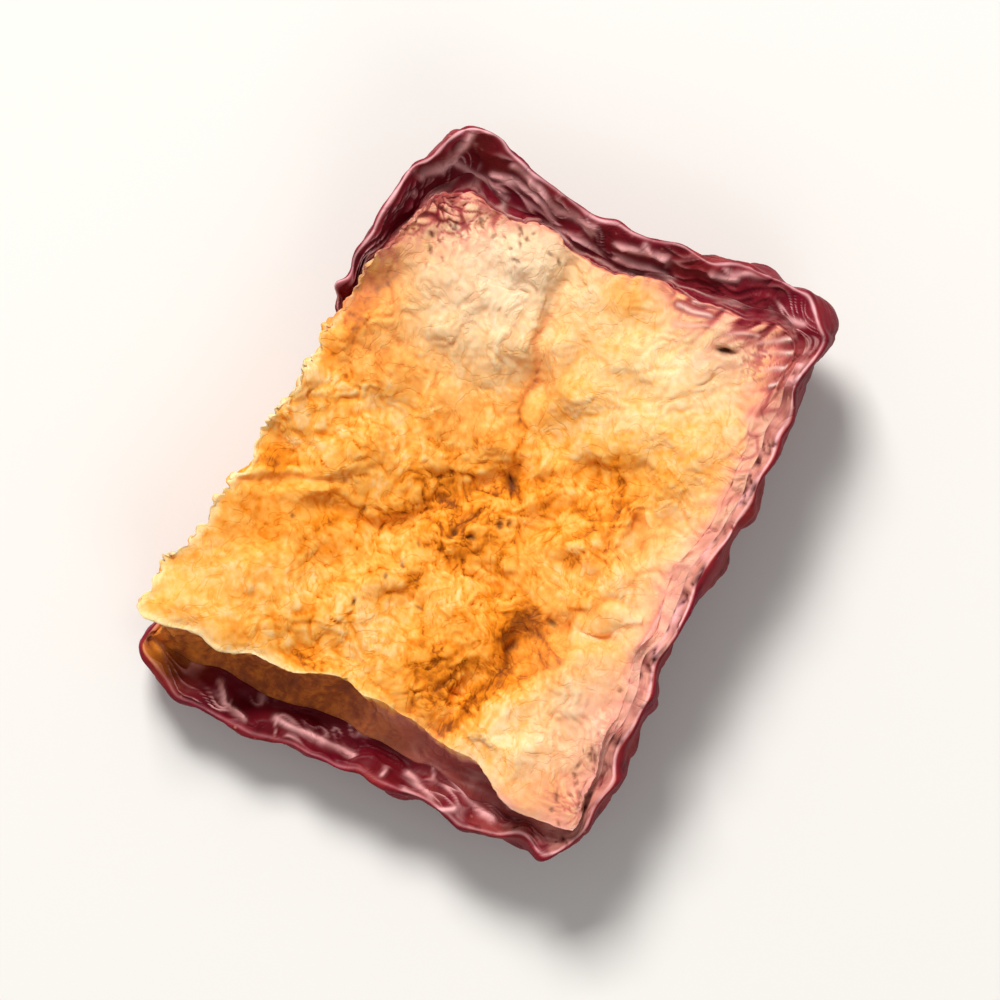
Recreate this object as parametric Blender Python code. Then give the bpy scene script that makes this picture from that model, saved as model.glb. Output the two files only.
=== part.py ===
# A dried apple piece: a squarish dice of flesh with the peel still on its outer side.
# The peel lies underneath like a shallow dish. Drying has curled it up round three sides
# of the flesh, and on the fourth the cut flesh hangs over it.
# X runs along the long side, Z is up, and the origin is under the middle of the piece.
# Lengths are in millimetres until the last step, which turns them into metres.

import bmesh
import bpy
import numpy as np

MM = 0.001

# How finely the piece is cut along its length, its width and its rim.
LENGTH_CUTS = 40
WIDTH_CUTS = 32
RIM_CUTS = 21

HALF_SIZE = (8.3, 6.4)
PEEL_THICKNESS = 0.32
GROOVE_WIDTH = 0.10  # at its narrowest, between the flesh and the peel
GROOVE_SHARE = 0.45  # where the peel flares out: how far the groove lies back from the rim
PEEL_BULGE = 0.11  # how far the peel's side stands out past its rim, per mm of height
BULGE_START = 1.6  # the height of a rim with no bulge below it
DISH_DEPTH = 0.55  # how far the flesh's middle sinks below its edges
EDGE_FADE = 8  # how soon the flesh's relief sets in from its edge
BELLY_CURVE = 2.5  # higher is a flatter middle to the underside
FLAT_SPOT_DEPTH = 0.10  # how much of the belly is pressed flat where the piece rests

# Stations go clockwise from the corner at -X +Y, five to a side. Each is x, y, z of the
# flesh's edge, x, y, z of the peel's rim, and the height of the groove between the two.
STATIONS = (
    # the +Y side, where the flesh overhangs and the peel shows only at the far end
    (-7.10, 5.95, 3.65, -8.30, 5.70, 1.60, 1.20),
    (-4.40, 5.95, 3.50, -4.60, 5.30, 1.20, 1.10),
    (-1.50, 5.90, 3.40, -1.50, 5.25, 1.15, 1.05),
    (1.30, 6.00, 3.50, 1.35, 5.60, 1.70, 1.60),
    (3.90, 5.70, 3.70, 3.75, 6.10, 3.55, 3.30),
    # the +X end, where the peel curls up highest
    (6.40, 5.00, 3.75, 7.55, 5.45, 4.60, 3.20),
    (6.80, 3.20, 3.60, 7.75, 3.65, 4.30, 3.05),
    (6.85, 1.20, 3.55, 7.50, 1.70, 3.95, 3.05),
    (7.10, -0.90, 3.55, 8.00, -0.80, 3.85, 3.20),
    (7.55, -3.00, 3.75, 8.75, -3.20, 3.95, 3.68),
    # the -Y side, where the peel stands flush against the flesh
    (7.70, -4.75, 4.00, 8.60, -5.25, 4.05, 3.95),
    (5.30, -5.20, 3.90, 5.70, -5.70, 4.05, 3.84),
    (2.60, -5.50, 3.85, 2.80, -6.20, 4.00, 3.80),
    (-0.30, -5.50, 3.80, -0.40, -6.15, 3.90, 3.72),
    (-3.40, -5.90, 3.80, -3.60, -6.70, 3.75, 3.62),
    # the -X end, where the peel flares out low down
    (-6.25, -6.05, 3.55, -6.95, -6.65, 3.20, 3.00),
    (-6.35, -4.00, 3.50, -7.65, -4.40, 2.65, 1.95),
    (-6.20, -1.70, 3.30, -7.95, -2.00, 2.15, 1.45),
    (-6.15, 0.50, 3.30, -8.35, 0.50, 1.90, 1.25),
    (-6.60, 3.10, 3.40, -8.80, 3.10, 1.80, 1.15),
)
SIDE_STATIONS = 5
TANGENT_REACH = 0.35  # in stations, to either side

# The flesh's cut wall from its edge down to the groove. Each row is the share of the way
# to the groove, a push outward, a push per mm of the wall's height, and the share gone down.
WALL = (
    (0.0, -0.35, 0.00, 0.00),
    (0.0, -0.08, 0.00, 0.00),
    (0.0, 0.03, 0.00, 0.25),
    (0.5, 0.00, -0.10, 0.60),
    (1.0, 0.00, 0.00, 1.00),
)
# The outside of the peel from the rim down and in under the piece. Each row is how far in
# from the rim it lies, the share of the bulge that it has, and the share of the rim's height.
OUTSIDE = (
    (-0.20, 0.0, 0.86),
    (0.00, 1.0, 0.60),
    (0.35, 0.0, 0.34),
    (1.05, 0.0, 0.18),
    (2.00, 0.0, 0.11),
)

# Raised pads on the flesh: x, y, radius, height.
PADS = (
    (-4.7, -4.2, 1.7, 0.34),
    (-1.6, -4.9, 1.3, 0.22),
    (4.6, -2.4, 2.4, 0.34),
    (4.3, 2.9, 2.1, 0.30),
    (-5.7, 4.4, 1.7, 0.30),
    (-0.4, 3.9, 1.5, 0.16),
    (-4.2, 0.9, 1.6, 0.18),
)
# Creases across the flesh: half width, depth, then the points that they run through.
CREASES = (
    (0.34, 0.32, ((0.5, -0.4), (2.2, 0.3), (4.2, 0.7), (6.3, 1.1))),
    (0.38, 0.38, ((-6.0, -2.1), (-4.6, -2.5), (-3.0, -2.8), (-1.9, -3.6), (-1.0, -5.1))),
    (0.40, 0.26, ((0.6, -0.4), (-0.7, 0.9), (-2.3, 2.2), (-3.0, 3.6))),
    (0.36, 0.24, ((0.6, -0.4), (1.7, -1.9), (2.7, -3.3), (1.0, -4.2))),
    (0.22, 0.20, ((-2.9, 5.6), (-2.2, 4.6), (-1.5, 3.4))),
)
# Random relief, each layer as wavelength, height and seed.
CREASE_WANDER = ((2.2, 0.25, 3),)
FLESH_SWELLS = ((3.2, 0.14, 11), (1.5, 0.08, 12))
BELLY_PUCKERS = ((2.8, 0.10, 31), (1.5, 0.05, 32))
CRUMPLES = ((1.9, 0.14, 21), (1.2, 0.08, 41))
PITCH_SPREAD = (0.75, 1.35)  # of the waves in one layer, against its wavelength


def around(t):
    """The stations' values at each t, counted in stations, on a closed Catmull-Rom spline."""
    values = np.array(STATIONS)
    count = len(values)
    first = np.floor(t).astype(int)
    f = (t - first)[:, None]
    before, start, end, after = (values[(first + k) % count] for k in (-1, 0, 1, 2))
    leaving = (end - before) / 2
    arriving = (after - start) / 2
    return (
        (2 * f**3 - 3 * f**2 + 1) * start
        + (f**3 - 2 * f**2 + f) * leaving
        + (3 * f**2 - 2 * f**3) * end
        + (f**3 - f**2) * arriving
    )


def outward(t):
    """The plan direction that points away from the flesh at each t."""
    along = (around(t + TANGENT_REACH) - around(t - TANGENT_REACH))[:, 0:2]
    across = np.stack([-along[:, 1], along[:, 0]], axis=1)
    return across / np.linalg.norm(across, axis=1, keepdims=True)


def inset(plan, depth):
    """Draws a plan outline in by a depth without letting its corners cross."""
    return plan * (1 - depth / np.array(HALF_SIZE))


def section(t):
    """The control points of the side's section at each t, from the flesh down and round the peel."""
    place = around(t)
    flesh, flesh_z = place[:, 0:2], place[:, 2:3]
    rim, rim_z = place[:, 3:5], place[:, 5:6]
    groove_z = place[:, 6:7]
    out = outward(t)
    half = PEEL_THICKNESS / 2
    flare = ((rim - flesh) * out).sum(axis=1, keepdims=True)
    groove = rim - out * np.maximum(GROOVE_SHARE * flare, half + GROOVE_WIDTH)
    lip = rim - out * half
    crest = rim + out * half
    wall = flesh_z - groove_z
    bulge = PEEL_BULGE * (rim_z - BULGE_START)
    rows = [
        (flesh + share * (groove - flesh) + out * (push + slant * wall), flesh_z - down * wall)
        for share, push, slant, down in WALL
    ]
    rows += [((groove + lip) / 2, (groove_z + rim_z) / 2), (lip, rim_z), (crest, rim_z)]
    rows += [
        (inset(rim, depth - swell * bulge), height * rim_z) for depth, swell, height in OUTSIDE
    ]
    return np.array([np.hstack(row) for row in rows])


def ring(t, w):
    """The side of the piece: w runs from 0 at the flesh's edge to 1 underneath, on a B-spline."""
    points = section(t)
    spans = len(points) - 3
    first = np.minimum(np.floor(w * spans).astype(int), spans - 1)
    f = (w * spans - first)[:, None]
    here = np.arange(len(t))
    a, b, c, d = (points[first + k, here] for k in range(4))
    return (
        (1 - f) ** 3 * a
        + (3 * f**3 - 6 * f**2 + 4) * b
        + (-3 * f**3 + 3 * f**2 + 3 * f + 1) * c
        + f**3 * d
    ) / 6


def patch(a, b, w):
    """Fills the ring at w with a surface that blends its four sides, a and b from -1 to 1."""
    side = SIDE_STATIONS
    u, v = (a + 1) / 2, (b + 1) / 2
    level = np.full(len(a), w)
    top_edge, bottom_edge = ring(u * side, level), ring((3 - u) * side, level)
    right_edge, left_edge = ring((2 - v) * side, level), ring((3 + v) * side, level)
    corner = ring(side * np.arange(4.0), level[:4])
    u, v = u[:, None], v[:, None]
    along_x = v * top_edge + (1 - v) * bottom_edge
    along_y = u * right_edge + (1 - u) * left_edge
    upper = (1 - u) * corner[0] + u * corner[1]
    lower = (1 - u) * corner[3] + u * corner[2]
    return along_x + along_y - v * upper - (1 - v) * lower


def station_of(a, b):
    """Where a point of the unit square's border lies among the stations."""
    side = SIDE_STATIONS
    return np.select(
        [b >= 1, a >= 1, b <= -1, a <= -1],
        [side * (a + 1) / 2, side * (3 - b) / 2, side * (5 - a) / 2, side * (7 + b) / 2],
    )


def waves(points, wavelength, seed, count=18):
    """Smooth random relief between about -1 and 1: a sum of plane waves in random directions."""
    random = np.random.default_rng(seed)
    direction = random.normal(size=(count, 3))
    direction /= np.linalg.norm(direction, axis=1, keepdims=True)
    pitch = wavelength * random.uniform(*PITCH_SPREAD, count)
    phase = random.uniform(0, 2 * np.pi, count)
    angle = points @ (direction * (2 * np.pi / pitch)[:, None]).T + phase
    return np.sin(angle).sum(axis=1) * np.sqrt(2 / count) / 2


def relief(points, layers):
    """The sum of several layers of waves."""
    return sum(height * waves(points, length, seed) for length, height, seed in layers)


def shove(points, layers, axes):
    """A random push along each of the first two or three axes, smooth from point to point."""
    pushes = [
        relief(points, [(length, height, seed + axis) for length, height, seed in layers])
        for axis in range(axes)
    ]
    return np.stack(pushes, axis=1)


def distance_to(line, xy):
    """How far each point lies from a line of several straight runs."""
    best = np.full(len(xy), np.inf)
    for start, end in zip(line[:-1], line[1:]):
        run = np.subtract(end, start)
        share = np.clip(((xy - start) @ run) / (run @ run), 0, 1)
        gap = np.linalg.norm(xy - start - share[:, None] * run, axis=1)
        best = np.minimum(best, gap)
    return best


def flesh_relief(xyz):
    """The height of pads, creases and crags over the flesh's flat top."""
    xy = xyz[:, :2] + shove(xyz, CREASE_WANDER, 2)
    height = relief(xyz, FLESH_SWELLS)
    for x, y, radius, rise in PADS:
        height += rise * np.exp(-(((xy - (x, y)) / radius) ** 2).sum(axis=1))
    gullies = [
        depth * np.exp(-((distance_to(line, xy) / half_width) ** 2))
        for half_width, depth, line in CREASES
    ]
    return height - np.max(gullies, axis=0)


def piece_surface(cube):
    """Carries each point of the cube from -1 to 1 to its place on the piece."""
    a, b, c = cube.T
    side = np.maximum(abs(a), abs(b)) >= 1
    top = ~side & (c > 0)
    under = ~side & (c < 0)
    middle = (1 - a**2) * (1 - b**2)
    xyz = np.empty_like(cube)
    xyz[side] = ring(station_of(a[side], b[side]), (1 - c[side]) / 2)
    xyz[top] = patch(a[top], b[top], 0.0)
    xyz[under] = patch(a[under], b[under], 1.0)

    xyz[top, 2] += flesh_relief(xyz[top]) * (1 - (1 - middle[top]) ** EDGE_FADE)
    xyz[top, 2] -= DISH_DEPTH * middle[top]
    xyz[under, 2] *= (1 - middle[under]) ** BELLY_CURVE
    xyz[under, 2] += relief(xyz[under], BELLY_PUCKERS) * middle[under]
    xyz += shove(xyz, CRUMPLES, 3)
    xyz[:, 2] = np.maximum(xyz[:, 2] - FLAT_SPOT_DEPTH, 0)
    xyz[:, :2] -= (xyz[:, :2].min(axis=0) + xyz[:, :2].max(axis=0)) / 2
    return xyz


def cut_cube():
    """A cube primitive from -1 to 1, cut into a grid on every face."""
    cage = bmesh.new()
    bmesh.ops.create_cube(cage, size=2)
    for axis, cuts in enumerate((LENGTH_CUTS, WIDTH_CUTS, RIM_CUTS)):
        along = [e for e in cage.edges if abs((e.verts[0].co - e.verts[1].co)[axis]) > 0.01]
        bmesh.ops.subdivide_edges(cage, edges=along, cuts=cuts, use_grid_fill=True)
    return cage


def flesh_material():
    """Leathery flesh gone golden brown."""
    material = bpy.data.materials.new("dried_flesh")
    material.use_nodes = True
    shader = material.node_tree.nodes["Principled BSDF"]
    shader.inputs["Base Color"].default_value = (0.78, 0.48, 0.17, 1)
    shader.inputs["Roughness"].default_value = 0.6
    shader.inputs["Metallic"].default_value = 0.0
    return material


def build_piece():
    cage = cut_cube()
    mesh = bpy.data.meshes.new("apple_piece")
    cage.to_mesh(mesh)
    cage.free()
    cube = np.empty(len(mesh.vertices) * 3, np.float32)
    mesh.vertices.foreach_get("co", cube)
    cube = np.round(cube.astype(float).reshape(-1, 3), 5)
    xyz = piece_surface(cube) * MM
    mesh.vertices.foreach_set("co", xyz.astype(np.float32).ravel())
    mesh.update()
    mesh.shade_smooth()
    mesh.materials.append(flesh_material())
    piece = bpy.data.objects.new("apple_piece", mesh)
    home = bpy.data.collections.new("dried_apple_piece")
    bpy.context.scene.collection.children.link(home)
    home.objects.link(piece)


for leftover in list(bpy.data.objects):
    bpy.data.objects.remove(leftover)
build_piece()
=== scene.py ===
# A dried apple piece on a pale table, seen straight from above.

import math

import bpy
import numpy as np
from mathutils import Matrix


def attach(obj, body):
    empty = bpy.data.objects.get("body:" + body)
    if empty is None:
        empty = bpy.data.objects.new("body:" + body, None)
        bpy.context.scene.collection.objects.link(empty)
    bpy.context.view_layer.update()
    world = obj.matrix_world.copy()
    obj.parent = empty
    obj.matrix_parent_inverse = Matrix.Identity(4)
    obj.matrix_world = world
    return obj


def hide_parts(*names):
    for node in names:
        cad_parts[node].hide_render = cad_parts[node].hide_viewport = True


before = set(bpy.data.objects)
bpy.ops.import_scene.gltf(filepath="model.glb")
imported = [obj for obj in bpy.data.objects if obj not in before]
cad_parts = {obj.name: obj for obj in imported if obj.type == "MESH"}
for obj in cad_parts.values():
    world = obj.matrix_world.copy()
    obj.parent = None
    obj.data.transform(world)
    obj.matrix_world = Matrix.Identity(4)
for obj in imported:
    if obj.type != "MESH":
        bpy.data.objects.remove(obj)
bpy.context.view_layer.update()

# The flesh
# A thick dice cut from the side of an apple and air-dried until it is leathery. The cut
# face has sunk in the middle, crinkled and gone golden, and one cut side hangs over the peel.
# All lengths here are in millimetres, from the same drawing as the solid.

MM = 0.001
PLAN_CENTRE = (0.0587, -0.3966)  # the drawing's point that lies at the origin
HALF_SIZE = (8.3, 6.4)
PEEL_THICKNESS = 0.24
GROOVE_WIDTH = 0.10
PEEL_BULGE = 0.11
BULGE_START = 1.6
DISH_DEPTH = 0.55
EDGE_FADE = 8  # the power by which the face's relief settles towards the edge
FLAT_SPOT_DEPTH = 0.10
SIDE_STATIONS = 5
STATION_LENGTH = 2.9
TANGENT_REACH = 0.35

# Stations go clockwise from the corner at -X +Y, five to a side. Each is x, y, z of the
# flesh's edge, x, y, z of the peel's rim, and the height of the groove between the two.
STATIONS = (
    # the +Y side, where the flesh overhangs and the peel shows only at the far end
    (-7.10, 5.95, 3.65, -8.30, 5.70, 1.60, 1.20),
    (-4.40, 5.95, 3.50, -4.60, 5.30, 1.20, 1.10),
    (-1.50, 5.90, 3.40, -1.50, 5.25, 1.15, 1.05),
    (1.30, 6.00, 3.50, 1.35, 5.60, 1.70, 1.60),
    (3.90, 5.70, 3.70, 3.75, 6.10, 3.55, 3.30),
    # the +X end, where the peel curls up highest
    (6.40, 5.00, 3.75, 7.55, 5.45, 4.60, 3.20),
    (6.80, 3.20, 3.60, 7.75, 3.65, 4.30, 3.05),
    (6.85, 1.20, 3.55, 7.50, 1.70, 3.95, 3.05),
    (7.10, -0.90, 3.55, 8.00, -0.80, 3.85, 3.20),
    (7.55, -3.00, 3.75, 8.75, -3.20, 3.95, 3.68),
    # the -Y side, where the peel stands flush against the flesh
    (7.70, -4.75, 4.00, 8.60, -5.25, 4.05, 3.95),
    (5.30, -5.20, 3.90, 5.70, -5.70, 4.05, 3.84),
    (2.60, -5.50, 3.85, 2.80, -6.20, 4.00, 3.80),
    (-0.30, -5.50, 3.80, -0.40, -6.15, 3.90, 3.72),
    (-3.40, -5.90, 3.80, -3.60, -6.70, 3.75, 3.62),
    # the -X end, where the peel flares out low down
    (-6.25, -6.05, 3.55, -6.95, -6.65, 3.20, 3.00),
    (-6.35, -4.00, 3.50, -7.65, -4.40, 2.65, 1.95),
    (-6.20, -1.70, 3.30, -7.95, -2.00, 2.15, 1.45),
    (-6.15, 0.50, 3.30, -8.35, 0.50, 1.90, 1.25),
    (-6.60, 3.10, 3.40, -8.80, 3.10, 1.80, 1.15),
)
# At each station: how far the groove lies back from the rim, as a share of the way to the
# flesh, how far the rim's edge leans out, and how much of the face's relief carries on over
# its edge.
GROOVE_BACK = (
    *(0.45, 0.45, 0.45, 0.45, 0.55),
    *(0.75, 0.85, 0.85, 0.85, 0.75),
    *(0.60, 0.45, 0.45, 0.45, 0.45),
    *(0.45, 0.45, 0.45, 0.45, 0.45),
)
RIM_LEAN = (
    *(0.00, 0.00, 0.00, 0.00, 0.16),
    *(0.31, 0.30, 0.28, 0.24, 0.18),
    *(0.12, 0.06, 0.00, 0.00, 0.00),
    *(0.05, 0.05, 0.05, 0.05, 0.05),
)
EDGE_LIFT = (
    *(1.0, 1.0, 1.0, 1.0, 1.0),
    *(0.8, 1.0, 1.0, 0.8, 0.5),
    *(0.2, 0.2, 0.2, 0.2, 0.2),
    *(0.5, 1.0, 1.0, 1.0, 1.0),
)

# The cut wall from the flesh's edge down to the groove. Each row is the share of the way
# to the groove, a push outward, a push per mm of the wall's height, and the share gone down.
WALL = (
    (0.0, -0.35, 0.00, 0.00),
    (0.0, -0.08, 0.00, 0.00),
    (0.0, 0.03, 0.00, 0.25),
    (0.5, 0.00, -0.10, 0.60),
    (1.0, 0.00, 0.00, 1.00),
)
# The outside of the peel from the rim down and in under the piece. Each row is how far in
# from the rim it lies, the share of the bulge that it has, and the share of the rim's height.
OUTSIDE = (
    (-0.20, 0.0, 0.86),
    (0.00, 1.0, 0.60),
    (0.35, 0.0, 0.34),
    (1.05, 0.0, 0.18),
    (2.00, 0.0, 0.11),
)
GROOVE_AT = 0.30  # where the groove lies on the side's section, from 0 to 1

# Raised pads on the flesh: x, y, radius, height.
PADS = (
    (-4.7, -4.2, 1.7, 0.34),
    (-1.6, -4.9, 1.3, 0.22),
    (4.6, -2.4, 2.4, 0.34),
    (4.3, 2.9, 2.1, 0.30),
    (-5.7, 4.4, 1.7, 0.30),
    (-0.4, 3.9, 1.5, 0.16),
    (-4.2, 0.9, 1.6, 0.18),
)
# Creases across the flesh: half width, depth, then the points that they run through.
CREASES = (
    (0.34, 0.32, ((0.5, -0.4), (2.2, 0.3), (4.2, 0.7), (6.3, 1.1))),
    (0.38, 0.38, ((-6.0, -2.1), (-4.6, -2.5), (-3.0, -2.8), (-1.9, -3.6), (-1.0, -5.1))),
    (0.40, 0.26, ((0.6, -0.4), (-0.7, 0.9), (-2.3, 2.2), (-3.0, 3.6))),
    (0.36, 0.24, ((0.6, -0.4), (1.7, -1.9), (2.7, -3.3), (1.0, -4.2))),
    (0.22, 0.20, ((-2.9, 5.6), (-2.2, 4.6), (-1.5, 3.4))),
)
# Random relief, each layer as wavelength, height and seed.
CREASE_WANDER = ((2.2, 0.25, 3),)
FLESH_SWELLS = ((3.2, 0.14, 11), (1.5, 0.08, 12))
CRUMPLES = ((1.9, 0.14, 21), (1.2, 0.08, 41))
PITCH_SPREAD = (0.75, 1.35)
ROUNDING = 1e-9


def along_stations(values, t):
    """A value given at each station, drawn straight from one to the next round the piece."""
    return np.interp(t % len(values), np.arange(len(values) + 1), (*values, values[0]))


def around(t):
    """The stations' values at each t, counted in stations, on a closed Catmull-Rom spline."""
    values = np.array(STATIONS)
    count = len(values)
    first = np.floor(t).astype(int)
    f = (t - first)[:, None]
    before, start, end, after = (values[(first + k) % count] for k in (-1, 0, 1, 2))
    leaving = (end - before) / 2
    arriving = (after - start) / 2
    return (
        (2 * f**3 - 3 * f**2 + 1) * start
        + (f**3 - 2 * f**2 + f) * leaving
        + (3 * f**2 - 2 * f**3) * end
        + (f**3 - f**2) * arriving
    )


def outward(t):
    """The plan direction away from the flesh: the tangent of its edge, a quarter turn on."""
    along = (around(t + TANGENT_REACH) - around(t - TANGENT_REACH))[:, 0:2]
    across = np.stack([-along[:, 1], along[:, 0]], axis=1)
    return across / np.linalg.norm(across, axis=1, keepdims=True)


def inset(plan, depth):
    """Draws a plan outline in by a depth: each axis shrinks by the depth over its half size."""
    return plan * (1 - depth / np.array(HALF_SIZE))


def section(t):
    """The control points of the side at each t: down the wall, over the rim, and in under it."""
    place = around(t)
    flesh, flesh_z = place[:, 0:2], place[:, 2:3]
    rim, rim_z = place[:, 3:5], place[:, 5:6]
    groove_z = place[:, 6:7]
    out = outward(t)
    half = PEEL_THICKNESS / 2
    flare = ((rim - flesh) * out).sum(axis=1, keepdims=True)
    back = along_stations(GROOVE_BACK, t)[:, None]
    groove = rim - out * np.maximum(back * flare, half + GROOVE_WIDTH)
    lean = along_stations(RIM_LEAN, t)[:, None]
    lip = rim + out * (lean - half)
    crest = rim + out * (lean + half)
    wall = flesh_z - groove_z
    bulge = PEEL_BULGE * (rim_z - BULGE_START)
    rows = [
        (flesh + share * (groove - flesh) + out * (push + slant * wall), flesh_z - down * wall)
        for share, push, slant, down in WALL
    ]
    rows += [((groove + lip) / 2, (groove_z + rim_z) / 2), (lip, rim_z), (crest, rim_z)]
    rows += [
        (inset(rim, depth - swell * bulge), height * rim_z) for depth, swell, height in OUTSIDE
    ]
    return np.array([np.hstack(row) for row in rows])


def ring(t, w):
    """The side of the piece: a uniform cubic B-spline through the section, w from 0 to 1."""
    points = section(t)
    spans = len(points) - 3
    first = np.minimum(np.floor(w * spans).astype(int), spans - 1)
    f = (w * spans - first)[:, None]
    here = np.arange(len(t))
    a, b, c, d = (points[first + k, here] for k in range(4))
    return (
        (1 - f) ** 3 * a
        + (3 * f**3 - 6 * f**2 + 4) * b
        + (-3 * f**3 + 3 * f**2 + 3 * f + 1) * c
        + f**3 * d
    ) / 6


def patch(a, b, w):
    """Fills the ring at w: a Coons patch, the sum of both ways across less the corners' plane."""
    side = SIDE_STATIONS
    u, v = (a + 1) / 2, (b + 1) / 2
    level = np.full(len(a), w)
    top_edge, bottom_edge = ring(u * side, level), ring((3 - u) * side, level)
    right_edge, left_edge = ring((2 - v) * side, level), ring((3 + v) * side, level)
    corner = ring(side * np.arange(4.0), np.full(4, w))
    u, v = u[:, None], v[:, None]
    along_x = v * top_edge + (1 - v) * bottom_edge
    along_y = u * right_edge + (1 - u) * left_edge
    upper = (1 - u) * corner[0] + u * corner[1]
    lower = (1 - u) * corner[3] + u * corner[2]
    return along_x + along_y - v * upper - (1 - v) * lower


def stations_at(a, b):
    """The t at which a line from the square's middle through each point meets its border."""
    size = np.maximum(np.maximum(abs(a), abs(b)), ROUNDING)
    a, b = a / size, b / size
    near = 1 - ROUNDING
    return SIDE_STATIONS * np.select(
        [b >= near, a >= near, b <= -near],
        [(a + 1) / 2, (3 - b) / 2, (5 - a) / 2],
        (7 + b) / 2,
    )


def waves(points, wavelength, seed, count=18):
    """Smooth random relief of about -1 to 1: a sum of plane waves in random directions."""
    random = np.random.default_rng(seed)
    direction = random.normal(size=(count, 3))
    direction /= np.linalg.norm(direction, axis=1, keepdims=True)
    pitch = wavelength * random.uniform(*PITCH_SPREAD, count)
    phase = random.uniform(0, 2 * np.pi, count)
    angle = points @ (direction * (2 * np.pi / pitch)[:, None]).T + phase
    return np.sin(angle).sum(axis=1) * np.sqrt(2 / count) / 2


def relief(points, layers):
    """The sum of several layers of waves, each times its height."""
    return sum(height * waves(points, length, seed) for length, height, seed in layers)


def shove(points, layers, axes):
    """A random push along each of the first axes: one sum of waves for each, seeds a step apart."""
    pushes = [
        relief(points, [(length, height, seed + axis) for length, height, seed in layers])
        for axis in range(axes)
    ]
    return np.stack(pushes, axis=1)


def bell(distance, half_width):
    """1 at no distance, falling off over the half width: e to the minus square of their ratio."""
    return np.exp(-((distance / half_width) ** 2))


def mound(xy, x, y, radius):
    """The bell of each plan point's distance from x, y."""
    return np.exp(-(((xy - (x, y)) / radius) ** 2).sum(axis=1))


def wrinkles(points, wavelength, seed, width):
    """Thin curly lines: 1 where a layer of waves changes sign, falling off over the width."""
    return bell(waves(points, wavelength, seed), width)


def distance_to(line, xy):
    """How far each point lies from a line of straight runs: the least of the runs' distances."""
    best = np.full(len(xy), np.inf)
    for start, end in zip(line[:-1], line[1:]):
        run = np.subtract(end, start)
        share = np.clip(((xy - start) @ run) / (run @ run), 0, 1)
        gap = np.linalg.norm(xy - start - share[:, None] * run, axis=1)
        best = np.minimum(best, gap)
    return best


def soft_line(line, half_width, xy):
    """1 on a line and falling off over its half width as a bell."""
    return bell(distance_to(line, xy), half_width)


def flesh_relief(xyz):
    """Pads, swells and creases: bell-shaped mounds plus waves, less the deepest crease's bell."""
    xy = xyz[:, :2] + shove(xyz, CREASE_WANDER, 2)
    height = relief(xyz, FLESH_SWELLS)
    for x, y, radius, rise in PADS:
        height += rise * mound(xy, x, y, radius)
    gullies = [depth * soft_line(line, half_width, xy) for half_width, depth, line in CREASES]
    return height - np.max(gullies, axis=0)


# The hidden floor between flesh and peel. Each row is how far in from the groove it lies,
# the share of the groove's height, and a height added to that.
FLOOR_ROWS = ((0.05, 0.60, 0.00), (0.60, 0.26, 0.38), (1.60, 0.10, 0.55))
FLOOR_MIDDLE = 0.65
FLESH_SINK = 0.05  # the flesh's underside into the peel, so that no gap shows between them


def floor_rows(t, drop):
    """The rows of the hidden floor from the groove in, each an inset of the groove's outline."""
    groove = ring(t, np.full(len(t), GROOVE_AT))
    return [
        np.column_stack([inset(groove[:, :2], depth), share * groove[:, 2] + height - drop])
        for depth, share, height in FLOOR_ROWS
    ]


def loops_to_faces(loops):
    """Quads between closed loops of vertex numbers, each loop joined to the next one below."""
    near, far = loops[:-1], loops[1:]
    quads = [near, np.roll(near, -1, axis=1), np.roll(far, -1, axis=1), far]
    return np.stack(quads, axis=2).reshape(-1, 4)


def fan_to_faces(loop, pole):
    """Triangles from a closed loop of vertex numbers to a single one."""
    return np.stack([loop, np.roll(loop, -1), np.full(len(loop), pole)], axis=1)


def make_piece(name, xyz, quads, triangles, fine_relief):
    """A smooth mesh in the drawing's place, each point moved along its normal by fine_relief."""
    mesh = bpy.data.meshes.new(name)
    mesh.from_pydata(xyz.tolist(), [], quads.tolist() + triangles.tolist())
    mesh.update()
    normal = np.empty(len(xyz) * 3, np.float32)
    mesh.vertex_normals.foreach_get("vector", normal)
    xyz = xyz + normal.reshape(-1, 3) * fine_relief[:, None]
    xyz[:, 2] = np.maximum(xyz[:, 2] - FLAT_SPOT_DEPTH, 0)
    xyz[:, :2] -= PLAN_CENTRE
    mesh.vertices.foreach_set("co", (xyz * MM).astype(np.float32).ravel())
    mesh.update()
    mesh.shade_smooth()
    piece = bpy.data.objects.new(name, mesh)
    bpy.context.scene.collection.objects.link(piece)
    return piece


def keep_mask(piece, name, values):
    """Stores a value from 0 to 1 for each vertex, for the material to read by name."""
    mask = piece.data.attributes.new(name, "FLOAT", "POINT")
    mask.data.foreach_set("value", np.clip(values, 0, 1).astype(np.float32))


def spots(xy, table):
    """Soft round spots of x, y, radius and strength: the strongest mound at each point."""
    mounds = [strength * mound(xy, x, y, radius) for x, y, radius, strength in table]
    return np.max(mounds, axis=0)


def ramped(values, start, end):
    """0 below the start, 1 above the end, and a straight line between."""
    return np.clip((values - start) / (end - start), 0, 1)


FACE_LENGTH_STEPS = 250
FACE_WIDTH_STEPS = 205
WALL_STEPS = 34

# Ranges on the way down the cut wall, from 0 at its edge to 1 in the groove.
FACE_ENDS = (0.05, 0.15)
WALL_COLOUR_STARTS = (0.06, 0.25)
WALL_WINE_AND_SHADE_STARTS = (0.10, 0.35)
WALL_FOLDS_START = (0.12, 0.25)
WALL_FOOT = (0.85, 1.0)
# The powers by which the face's relief, and its knobs and overhang, fade on that way.
RELIEF_FADE = 2
OVERHANG_FADE = 1.5

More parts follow.
